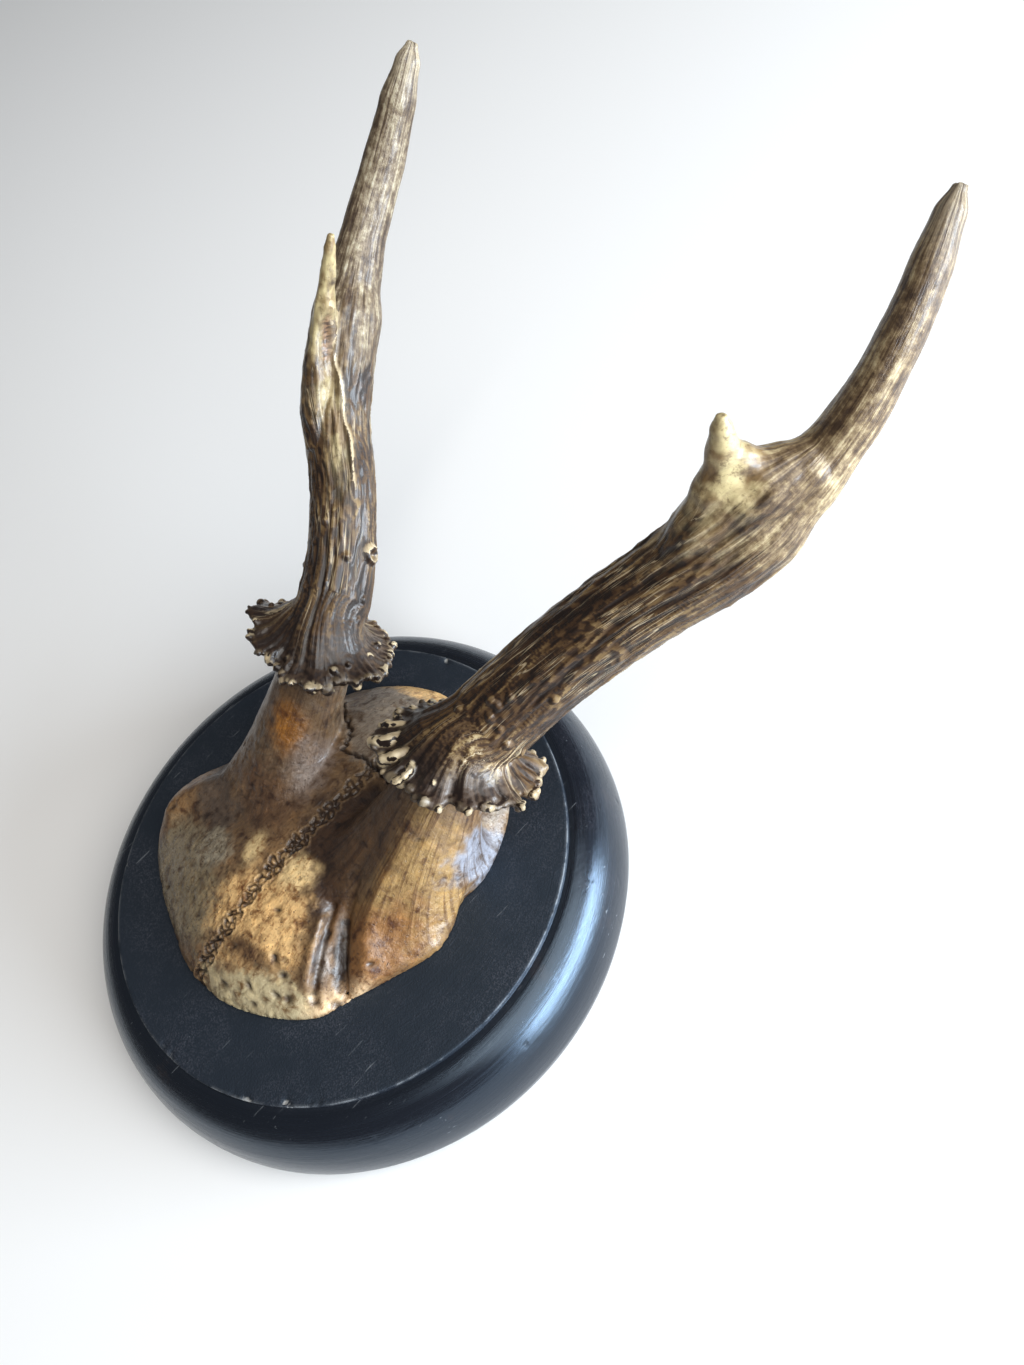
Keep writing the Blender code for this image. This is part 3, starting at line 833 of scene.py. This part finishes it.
# Stains, one over another, and among them painted shade and a painted highlight, each marked: centre, radii,
# turn in degrees, softness, colour, shine.
PATCHES = [
    ((0, 38, 8), (34, 16, 20), 0, 0.25, SLATE, 0.2),
    ((-4, 47, 3), (26, 6, 4), 0, 0.3, OCHRE, 0.0),
    ((-27, 12, 16), (13, 22, 30), 10, 0.3, (0.125, 0.080, 0.044), 0.2),
    ((-21, 16, 22), (4.5, 7, 9), 25, 0.6, AMBER, 0.9),
    ((-12, 10, 15), (5, 10, 8), 20, 0.4, (0.20, 0.15, 0.12), 0.5),
    ((-16, -1, 13), (15, 8, 8), -15, 0.4, (0.115, 0.062, 0.030), 0.3),
    ((-31, -11, 10), (13, 7, 7), -25, 0.35, (0.085, 0.058, 0.040), 0.2),
    ((-41, -17, 7), (5, 9, 6), 0, 0.4, (0.24, 0.135, 0.055), 0.2),
    ((-22, -33, 6), (23, 13, 10), 12, 0.25, OLIVE, 0.8),
    ((-20, -21, 11), (7, 5, 6), 30, 0.4, (0.29, 0.25, 0.18), 1.0),
    ((-30, -26, 8), (9, 6, 6), -20, 0.4, (0.22, 0.175, 0.11), 0.9),
    ((2, -18, 14), (8, 20, 9), 12, 0.4, (0.20, 0.115, 0.050), 0.2),
    ((9, 4, 15), (12, 18, 10), 15, 0.35, UMBER, 0.2),
    ((15, -7, 12), (5, 12, 9), 25, 0.35, UMBER, 0.2),
    ((7, -25, 11), (14, 14, 9), 25, 0.4, OCHRE, 0.1),
    ((7, -9, 15), (5, 4, 4), 30, 0.6, (0.82, 0.60, 0.30), 0.3),
    ((-8.7, -12.8, 14), (2.4, 4.5, 4), 10, 0.6, (0.60, 0.44, 0.22), 0.3),
    ((9, -31, 8), (9, 3, 5), 10, 0.6, (0.13, 0.070, 0.030), 0.1),
    ((16, -36, 3), (16, 8, 6), 25, 0.2, CREAM, 0.1),
    ((34, 4, 14), (10, 22, 22), 0, 0.3, GOLD, 0.4),
    # Partly painted shade: this dark brown on the right pedicle's inner side also stands for the shade on the
    # side turned from the light.
    ((20, 12, 20), (8, 16, 16), 0, 0.45, (0.080, 0.042, 0.018), 0.1),
    ((35, -10, 9), (11, 13, 10), -10, 0.5, RUST, 0.3),
    ((37, -22, 3), (10, 6, 4), 40, 0.5, (0.62, 0.43, 0.25), 0.2),
    # Painted shade: two near-black lines along the two brow grooves.
    ((28.5, -17, 7), (2.0, 10, 6), 35, 0.3, (0.028, 0.016, 0.010), 0.4),
    ((24.0, -18.5, 7), (1.0, 9, 5), 28, 0.3, (0.030, 0.016, 0.010), 0.3),
    # Painted highlight: a pale grey, glossy strip on the ridge between the brow grooves.
    ((26.2, -20, 7), (1.5, 5, 4), 30, 0.5, (0.21, 0.175, 0.15), 1.0),
    ((38, 27, 6), (6, 12, 13), -15, 0.25, ASH, 0.4),
    ((-37, 27, 6), (6, 12, 13), 15, 0.25, ASH, 0.3),
]


def segment_distance(p, a, b):
    """Distance of each point to the segment from a to b, and how far along it is, 0 to 1."""
    a, b = np.asarray(a, float), np.asarray(b, float)
    t = np.clip(((p - a) @ (b - a)) / ((b - a) @ (b - a)), 0, 1)
    return np.linalg.norm(p - a - t[:, None] * (b - a), axis=1), t


def line_distance(p, line):
    """Distance of each plan point to a line of many short steps."""
    tree = KDTree(len(line))
    for i, knot in enumerate(line):
        tree.insert((*knot, 0.0), i)
    tree.balance()
    return np.array([tree.find((x, y, 0.0))[2] for x, y in p])


def wavering(t, size, seed, row=0.0):
    """Noise from -1 to 1 along a line."""
    return noise(np.column_stack([t, t * 0 + row, t * 0]), size, seed)


def suture_line():
    """The seam between the two frontal bones, which loops from side to side like a worm."""
    y = np.linspace(-46, 30, 5200)
    turn = math.tau * y / 2.7 + 1.5 * wavering(y, 2.6, 11)
    swing = 1.5 + 0.7 * wavering(y, 3.0, 12, 5)
    x = swing * np.sin(turn) + 0.55 * np.sin(2.7 * turn + 1) + 0.9 * wavering(y, 14.0, 13, 9)
    return np.column_stack([x, y + 1.05 * np.sin(2 * turn) + 0.4 * np.cos(3.3 * turn)])


def crack_line():
    """The seam between frontal and parietal bones, a dark wandering crack."""
    line = through([(*p, 0.0) for p in CORONAL_SEAM], np.linspace(0, 1, 2400))[:, :2]
    t = np.linspace(0, 60, len(line))
    shake = np.column_stack([t, t * 0, t * 0])
    return line + np.column_stack([noise(shake, 0.75, 21), noise(shake + 50, 0.75, 22)]) * 0.8


def skull_height(p, share, edge):
    """Height of the cap, before its pedicles, over the points p of its plan."""
    edge_x, edge_y = edge.T
    rim = bump(np.abs(edge_x) - ORBIT[0], 8.0) * bump(edge_y - ORBIT[1], 13.0)
    low = SKULL_EDGE + (ORBIT_EDGE - SKULL_EDGE) * rim * np.where(edge_x < 0, 1.0, RIGHT_RIM_SHARE)
    height = low + (SKULL_HEIGHT - low) * (1 - share**2.4) ** 0.75
    # The sharp groove that runs forward from above the eye, deeper towards its end.
    away, t = segment_distance(p, *BROW[0][:2])
    height = height - 3.4 * bump(away, 1.15) * (0.25 + 0.75 * t)
    for start, end, rise, width in BROW:
        height = height + rise * bump(segment_distance(p, start, end)[0], width)
    return height


def skull_shell():
    """The cap's surface before its skin: points, faces, its triangles, and its plan unwarped."""
    rounds, rings = 420, 150
    closed = np.array([(*p, 0.0) for p in SKULL_OUTLINE + SKULL_OUTLINE[:1]])
    edge = through(closed, np.arange(rounds) / rounds)[:, :2]
    shares = np.linspace(1, 0, rings, endpoint=False)
    plan = SKULL_CENTRE + (edge[None] - SKULL_CENTRE) * shares[:, None, None]
    plan = np.concatenate([plan.reshape(-1, 2), [SKULL_CENTRE]])
    share = np.concatenate([np.repeat(shares, rounds), [0.0]])
    rim = np.concatenate([np.tile(edge, (rings, 1)), edge[:1]])
    points = np.column_stack([plan, skull_height(plan, share, rim)])
    for side, foot in PEDICLE_FEET.items():
        top, way = PEDICLE_TOP * (side, 1, 1), CORONET_WAY * (side, 1, 1)
        off = plan - foot
        away = np.linalg.norm(off * (1.0, 0.93), axis=1)
        inner = np.clip(unit(off) @ (INNER_REAR * (-side, 1)), 0, 1) ** 2
        t = np.clip((away - NECK_RADIUS * 0.97) / (FLARE + (INNER_FLARE - FLARE) * inner), 0, 1)
        rise = ((1 - t) ** 2.3)[:, None]
        flat = unit(np.cross(np.array([0.0, 1.0, 0.0]), way))
        raised = top + flat * off[:, :1] + np.cross(way, flat) * off[:, 1:]
        points = points * (1 - rise) + raised * rise
    count = rounds * rings
    points = np.concatenate([points, np.column_stack([edge, np.full(rounds, GAP)])])
    faces = walls(rings, rounds)
    last = count - rounds
    for i in range(rounds):
        j = (i + 1) % rounds
        faces += [(last + i, last + j, count), (count + 1 + i, count + 1 + j, j, i)]
    triangles = [face[:3] for face in faces] + [(f[0], f[2], f[3]) for f in faces if len(f) == 4]
    faces.append(tuple(count + 1 + i for i in range(rounds))[::-1])
    return points, faces, triangles, np.concatenate([plan, edge])


def skull_mesh():
    points, faces, triangles, plan = skull_shell()
    made = remeshed("skull", [(points + LIFT, faces)], 0.52)

    def plan_of(skin):
        """Where each point lies in the plan, read from the surface it was skinned from."""
        corners = np.array(triangles)
        tree = BVHTree.FromPolygons([tuple(p) for p in points], triangles)
        found = np.empty((len(skin), 3))
        for i, p in enumerate(skin):
            face = tree.find_nearest(p)[2]
            found[i] = *plan[corners[face]].mean(0), 0.0
        return found

    # Finer faces along the seams, which are narrower than the skin's faces.
    plan_at = plan_of(points_of(made) - LIFT)
    seam, crack = suture_line(), crack_line()
    close = (np.abs(plan_at[:, 0]) < 4.0) & (plan_at[:, 1] < 28)
    close |= line_distance(plan_at[:, :2], crack[::20]) < 2.0
    close &= points_of(made)[:, 2] > FACE_Z + 2.0
    bm = bmesh.new()
    bm.from_mesh(made)
    bm.verts.ensure_lookup_table()
    fine = [e for e in bm.edges if close[e.verts[0].index] and close[e.verts[1].index]]
    bmesh.ops.subdivide_edges(bm, edges=fine, cuts=1, use_grid_fill=True)
    bmesh.ops.triangulate(bm, faces=[f for f in bm.faces if len(f.verts) > 4])
    bm.to_mesh(made)
    bm.free()

    points_now = points_of(made) - LIFT
    edges = edges_of(made)
    plan_at = smoothed(plan_of(points_now), edges, 2)
    normals = normals_of(made)
    top_side = between(points_now[:, 2], GAP + 0.1, GAP + 0.7)
    x, y = plan_at[:, 0], plan_at[:, 1]
    rise = 0.45 * rough(points_now, 10.0, 31) + 0.15 * rough(points_now, 2.4, 37)
    seam_away = line_distance(plan_at[:, :2], seam)
    shown = 1 - 0.35 * between(y, -12, 8)
    rise = rise + shown * (0.22 * bump(seam_away - 0.60, 0.30) - 0.65 * bump(seam_away, 0.27))
    rise = rise - 0.35 * bump(x, 3.0) * (1 - between(y, 20, 30))
    crack_away = line_distance(plan_at[:, :2], crack)
    crack_cut = bump(crack_away, 0.42)
    rise = rise - 1.1 * crack_cut
    pits = np.zeros(len(points_now))
    for px, py, radius, long, turn in PITS:
        off = (plan_at[:, :2] - (px, py)) @ np.array(
            [[math.cos(turn), -math.sin(turn)], [math.sin(turn), math.cos(turn)]])
        pits = np.maximum(pits, bump(np.linalg.norm(off / (long, 1.0), axis=1), radius))
    scattered = between(noise(points_now * (1.0, 0.6, 1.0), 1.2, 41), 0.5, 0.8)
    scattered = scattered * between(rough(points_now, 8.0, 43), 0.0, 0.35) * (1 - between(-y, 30, 34))
    creases = between(1 - np.abs(rough(points_now * (1.0, 0.7, 1.0), 3.4, 45, 3)) * 5, 0.3, 0.9)
    creases = creases * between(rough(points_now, 11.0, 46), -0.25, 0.25) * between(30 - np.abs(x + 4), 0, 8)
    creases = creases * (1 - between(y, -2, 12))
    # Worm-like wrinkles gather below the left pedicle.
    wrinkled = bump(np.linalg.norm(plan_at[:, :2] - (-25, -4), axis=1), 11.0)
    creases = np.clip(creases * (0.75 + 0.6 * wrinkled), 0, 1)
    rise = rise - 0.26 * creases + 0.22 * wrinkled * noise(points_now, 2.1, 49)
    rise = rise - 0.9 * pits - 0.28 * scattered
    # Saw marks nick the front edge.
    front_edge = between(-y, 34, 38) * (1 - between(points_now[:, 2], 1.5, 3.2))
    rise = rise - 0.5 * front_edge * between(noise(points_now * (1, 0.3, 0.2), 0.9, 47), 0.2, 0.6)
    points_now = points_now + normals * (rise * top_side)[:, None]
    set_points(made, points_now + LIFT)

    tint = np.tile(np.array(TAN, float), (len(points_now), 1))
    gloss, clean = np.zeros((2, len(points_now)))
    wander = 0.42 * rough(points_now, 7.0, 51) + 0.42 * rough(points_now, 2.2, 53, 3)
    for centre, radii, turn, soft, colour, shine in PATCHES:
        off = points_now - centre
        c, s = math.cos(math.radians(turn)), math.sin(math.radians(turn))
        off = np.column_stack([off[:, 0] * c + off[:, 1] * s, off[:, 1] * c - off[:, 0] * s, off[:, 2]])
        inside = 1 - between(np.linalg.norm(off / radii, axis=1) + wander, 1 - soft, 1 + soft)
        tint = tint * (1 - inside[:, None]) + np.array(colour) * inside[:, None]
        gloss = np.maximum(gloss, inside * shine)
        clean = inside if colour == CREAM else clean
    # Darkened where the surface sinks: the seam and the crack as dark joints, partly painted shade, and
    # painted shade in the pits, the scattered dips and the creases.
    dark = np.clip(0.85 * bump(seam_away, 0.36) * shown + 0.95 * bump(crack_away, 0.5) + 0.9 * pits, 0, 1)
    dark = np.clip(dark + 0.55 * scattered + 0.42 * creases, 0, 1)
    # Painted highlight: a paler strip along the raised lips beside the seam.
    pale = shown * bump(seam_away - 0.72, 0.3) * 0.35
    tint = tint * (1 - pale[:, None]) + np.array((0.45, 0.30, 0.15)) * pale[:, None]
    tint = tint * (1 - dark[:, None]) + np.array((0.018, 0.010, 0.007)) * dark[:, None]
    store(made, "tint", tint)
    store(made, "gloss", gloss)
    store(made, "clean", clean)
    # Fibres run down the pedicles and out over the brow.
    feet = [plan_at[:, :2] - PEDICLE_FEET[side] for side in (1, -1)]
    reach = [np.linalg.norm(off, axis=1) for off in feet]
    nearer = (reach[0] < reach[1])[:, None]
    off, away = np.where(nearer, *feet), np.minimum(*reach)
    store(made, "rays", np.column_stack([unit(off + 1e-6) * 9.0, away * 0.16 + points_now[:, 2] * 0.10]))
    store(made, "rayed", (1 - between(away, 14.0, 30.0)) * np.where(nearer[:, 0], 1.0, 0.6))
    made.shade_smooth()
    return made


def skull_look():
    look = Look("skull_surface")
    place = look.object_place
    gloss, clean, rayed = look.attributes("gloss clean rayed")
    clouds = look.noise(place, 260.0, 6.0, 0.65, 0.4)
    rays = look.noise(look.attribute("rays", "Vector"), 1.25, 5.0, 0.62, 0.25)
    grain = look.noise(place, 1500.0, 4.0, 0.6, stretch=(1.0, 0.28, 0.5))
    pores = look.noise(place, 1500.0, 3.0, 0.6)
    stains = look.noise(place, 520.0, 5.0, 0.68, 0.8)
    dimples = look.noise(place, 620.0, 3.0, 0.6)
    soiled = (1.0 - clean * 0.80) * (1.0 - rayed * 0.6)

    def darkened(colour, share, by):
        return look.mix(share, colour, by, "MULTIPLY")

    colour = darkened(look.attribute("tint", "Color"), clouds.step(0.50, 0.70), (0.34, 0.22, 0.12))
    bleached = look.mix(1.0, colour, (1.5, 1.45, 1.35), "MULTIPLY")
    colour = look.mix((1.0 - clouds.step(0.34, 0.48)) * 0.6, colour, bleached)
    colour = darkened(colour, stains.step(0.52, 0.66) * soiled * 0.75, (0.38, 0.25, 0.15))
    colour = darkened(colour, grain.step(0.50, 0.66) * soiled * 0.60, (0.42, 0.28, 0.16))
    colour = darkened(colour, rays.step(0.46, 0.62) * rayed * 0.85, (0.36, 0.25, 0.17))
    colour = darkened(colour, pores.step(0.60, 0.70) * soiled * 0.8, (0.10, 0.06, 0.035))
    height = clouds * 0.9 + grain * 0.7 - stains * 0.5 + rays * rayed * 1.2
    height = height + dimples * gloss * 2.0 - pores.step(0.60, 0.72) * 0.5
    return look.finish(colour, clouds * 0.35 + 0.28 - gloss * 0.22, height, 0.5, 0.0006,
                       Coat_Weight=0.25, Coat_Roughness=0.2)


# ---------------------------------------------------------------- plaque


def plaque_profile():
    """(radius, height) from the rim of the back round the edge to the middle of the face."""
    outer = [(BACK_RADIUS, 0.0), (BACK_RADIUS + 1.5, 1.6), (PLAQUE_RADIUS, WIDEST_HEIGHT)]
    points = []
    for (r0, z0), (r1, z1) in zip(outer, outer[1:]):
        points += [(r0 + (r1 - r0) * k / 4, z0 + (z1 - z0) * k / 4) for k in range(4)]
    quirk = FACE_Z - FACE_STEP
    inner = FACE_RADIUS + 0.6
    bead_end = math.radians(84)
    for a in np.linspace(0, bead_end, 31):
        rise = math.sin(a) / math.sin(bead_end)
        points.append((inner + (PLAQUE_RADIUS - inner) * math.cos(a),
                       WIDEST_HEIGHT + (quirk - WIDEST_HEIGHT) * rise))
    points += [(FACE_RADIUS + 0.15, quirk - 0.05), (FACE_RADIUS, quirk + 0.15)]
    points += [(FACE_RADIUS, FACE_Z - 0.25), (FACE_RADIUS - 0.08, FACE_Z - 0.08), (FACE_RADIUS - 0.3, FACE_Z)]
    points += [(FACE_RADIUS - 0.3 - d, FACE_Z) for d in (0.5, 1.1, 1.8, 3, 5, 8, 12, 17, 23, 30)]
    return points


def plaque_mesh():
    sides = 720
    a = np.linspace(0, math.tau, sides, endpoint=False)
    profile = np.array(plaque_profile())
    points = np.concatenate(
        [np.column_stack([r * np.cos(a), r * np.sin(a), np.full(sides, z)]) for r, z in profile])
    radius = np.linalg.norm(points[:, :2], axis=1)
    z = points[:, 2]
    # Knocks along the arris of the face, worn flats on the bead, and a faintly uneven polish.
    worn_side = between(rough(points, 40.0, 61), -0.15, 0.30)
    arris = bump(radius - FACE_RADIUS + 0.5, 1.3) * between(z, FACE_Z - 0.8, FACE_Z - 0.2)
    chip = arris * between(rough(points, 3.2, 63), 0.12, 0.34) * worn_side
    bead = between(radius, FACE_RADIUS + 1.5, FACE_RADIUS + 3.0) * between(z, 3.0, 6.0)
    knock = bead * between(rough(points, 2.6, 65, 2), 0.62, 0.80)
    outward = points * (1, 1, 0) / np.maximum(radius, 1)[:, None]
    points = points - (0, 0, 1) * (0.55 * chip)[:, None] - outward * (0.25 * knock)[:, None]
    ring = np.column_stack([radius, *(5 * points[:, :2] / np.maximum(radius, 1)[:, None]).T])
    points = points - outward * (0.07 * bead * (1 + noise(ring + (0, 0, 9), 1.6, 67)))[:, None]
    made = mesh_of("plaque_turned", points, closed_walls(len(profile), sides))
    store(made, "chip", np.maximum(chip, 0.5 * knock))
    store(made, "bead", between(radius, FACE_RADIUS - 0.2, FACE_RADIUS + 0.4) * between(z, 2.0, 4.0))
    store(made, "turning", ring)
    store(made, "arris", bump(radius - FACE_RADIUS + 0.05, 0.22) * between(z, FACE_Z - 0.5, FACE_Z - 0.1))
    # Dust and a painted grey sheen gather on the far side of the bead, towards +y.
    store(made, "dusty", bead * between(points[:, 1], 10, 50) * between(points[:, 0], -20, 20))
    made.shade_smooth()
    made.set_sharp_from_angle(angle=math.radians(50))
    return made


def bore(target, x, y, low, high, radius):
    """Cuts a round hole along Z, in millimetres, into the target."""
    centres = np.array([(x, y, low), (x, y, high)], float)
    wides, deeps, half = np.array([(1.0, 0, 0)] * 2), np.array([(0, 1.0, 0)] * 2), np.full(2, radius)
    tool = link("bore", mesh_of("bore", *tube(centres, wides, deeps, half, half, 48)))
    cut = target.modifiers.new("bore", "BOOLEAN")
    cut.operation = "DIFFERENCE"
    cut.object = tool
    seen = target.evaluated_get(bpy.context.evaluated_depsgraph_get())
    made = bpy.data.meshes.new_from_object(seen)
    target.modifiers.clear()
    target.data = made
    bpy.data.objects.remove(tool)


def plaque_look():
    look = Look("ebonised_surface")
    place = look.object_place
    chip, bead, arris, dusty = look.attributes("chip bead arris dusty")
    turning = look.attribute("turning", "Vector")
    matt = 1.0 - bead
    clouds = look.noise(place, 55.0, 6.0, 0.65)
    grain = look.noise(place, 900.0, 4.0, 0.6, stretch=(1.0, 0.05, 1.0))
    rings = look.noise(turning, 2.4, 6.0, 0.7, stretch=(1.0, 0.16, 0.16))
    streaks = look.noise(turning, 0.9, 3.0, 0.6, stretch=(1.0, 0.5, 0.5))
    grit = look.noise(place, 2600.0, 2.0, 0.5)
    specks = look.noise(place, 1500.0, 3.0, 0.6).step(0.70, 0.76) * clouds.step(0.46, 0.62)
    slant = look.noise(place, 1300.0, 1.0, 0.4, stretch=(1.0, 0.07, 1.0))
    scratches = slant.step(0.73, 0.76) * clouds.step(0.42, 0.58)
    marks = specks.or_more(scratches * 0.5)
    # Dust over the matt face, with a painted grey sheen on the far side of the bead.
    dust_and_sheen = grit.step(0.42, 0.72) * clouds.step(0.35, 0.66) * (matt * 0.75 + dusty * 0.5 + 0.05)
    rubbed = arris * look.noise(place, 120.0, 5.0, 0.7).step(0.44, 0.60)

    colour = look.mix(dust_and_sheen * 0.70, (0.0040, 0.0040, 0.0060), (0.060, 0.058, 0.070))
    colour = look.mix(marks * 0.55, colour, (0.30, 0.32, 0.34))
    colour = look.mix(clouds.step(0.60, 0.74) * bead * 0.30, colour, (0.06, 0.032, 0.018))
    colour = look.mix(rubbed * 0.55, colour, (0.26, 0.27, 0.28))
    colour = look.mix(chip.step(0.30, 0.75), colour, (0.34, 0.34, 0.33))
    polish = rings * 0.34 + streaks * 0.16
    rough_by = (polish * bead + matt * 0.62).or_more(chip.or_more(marks) * 0.8)
    height = rings * 0.5 + grain * 0.35 + grit * matt * 0.6
    return look.finish(colour, rough_by, height, 0.35, 0.0004,
                       Specular_IOR_Level=0.85, Specular_Tint=(0.56, 0.76, 1.0))


# ---------------------------------------------------------------- screws


def steel_look():
    look = Look("steel_surface")
    stains = look.noise(look.object_place, 900.0, 4.0, 0.6)
    colour = look.mix(stains.step(0.5, 0.7), (0.34, 0.33, 0.31), (0.10, 0.055, 0.03))
    return look.finish(colour, stains * 0.4 + 0.2, Metallic=0.9)


# ---------------------------------------------------------------- stage


FLOOR_HALF = 4.0  # metres


def make_camera():
    """The photograph's viewpoint: close to the plaque's face, right of and above the object."""
    place = Vector((0.1551, 0.0057, 0.2294 + FACE_Z * MM))
    right = Vector((0.6764, 0.6853, -0.2699))
    down = Vector((0.5005, -0.6965, -0.5142))
    forward = Vector((-0.5404, 0.2127, -0.8141))
    data = bpy.data.cameras.new("camera")
    data.sensor_width = 36.0
    data.lens = 36.0 * 1026.0 / 1365.0
    data.clip_start = 0.01
    camera = bpy.data.objects.new("camera", data)
    bpy.context.scene.collection.objects.link(camera)
    turn = Matrix((right, -down, -forward)).transposed().to_4x4()
    camera.matrix_world = Matrix.Translation(place) @ turn
    bpy.context.scene.camera = camera


def area_light(name, place, target, size, power, colour):
    data = bpy.data.lights.new(name, "AREA")
    data.shape = "RECTANGLE"
    data.size, data.size_y = size
    data.energy = power
    data.color = colour
    lamp = bpy.data.objects.new(name, data)
    bpy.context.scene.collection.objects.link(lamp)
    lamp.location = place
    lamp.rotation_mode = "QUATERNION"
    lamp.rotation_quaternion = (Vector(target) - Vector(place)).to_track_quat("-Z", "Y")


def make_stage():
    half = FLOOR_HALF / MM
    corners = [(-half, -half, 0), (half, -half, 0), (half, half, 0), (-half, half, 0)]
    floor = link("floor", mesh_of("floor", corners, [(0, 1, 2, 3)]))
    floor.data.materials.append(Look("floor_paint").finish((0.88, 0.88, 0.88), 0.9))
    floor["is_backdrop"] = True
    world = bpy.data.worlds.new("studio")
    world.use_nodes = True
    sky = world.node_tree.nodes["Background"]
    sky.inputs["Color"].default_value = (0.95, 0.97, 1.0, 1.0)
    sky.inputs["Strength"].default_value = 0.17
    bpy.context.scene.world = world
    middle = (0.0, 0.03, 0.05)
    area_light("window", (0.98, 0.54, 0.21), middle, (1.15, 0.40), 38.0, (0.78, 0.89, 1.0))
    area_light("ceiling", (0.80, 0.30, 1.10), middle, (1.3, 1.3), 20.0, (1.0, 0.97, 0.92))
    bpy.context.scene.view_settings.view_transform = "Standard"


# ---------------------------------------------------------------- the object


def place_piece(name, mesh_data, look, nodes):
    mesh_data.materials.clear()
    mesh_data.materials.append(look)
    piece = link(name, mesh_data)
    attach(piece, "root")
    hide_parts(*nodes)
    return piece


def main():
    make_camera()
    make_stage()
    looks = {"left": antler_look("left", 0.40, 0.66, 0.08, (0.74, 0.76, 0.86)),
             "right": antler_look("right", 0.42, 0.70, -0.10, (0.88, 0.85, 0.82))}
    for name, look in looks.items():
        nodes = (f"{name}_antler_beam", f"{name}_front_tine")
        place_piece(f"{name}_antler", antler_mesh(name), look, nodes)
    place_piece("skull", skull_mesh(), skull_look(), ("skull_cap",))
    plaque = place_piece("turned_plaque", plaque_mesh(), plaque_look(), ("plaque",))
    for y in SCREW_PLACES:
        bore(plaque, 0.0, y, -2.0, COUNTERBORE_DEPTH, COUNTERBORE_RADIUS)
        bore(plaque, 0.0, y, 1.0, FACE_Z + 3.0, CLEARANCE_RADIUS)
    bore(plaque, *NAIL_HOLE, -2.0, NAIL_HOLE_DEPTH, NAIL_HOLE_RADIUS)
    steel = steel_look()
    for name in ("lower_screw", "upper_screw"):
        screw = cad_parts[name]
        screw.data.materials.clear()
        screw.data.materials.append(steel)


main()
SIZES = [[list(corner) for corner in box] for box in ((CAD_LOW, CAD_HIGH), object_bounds())]
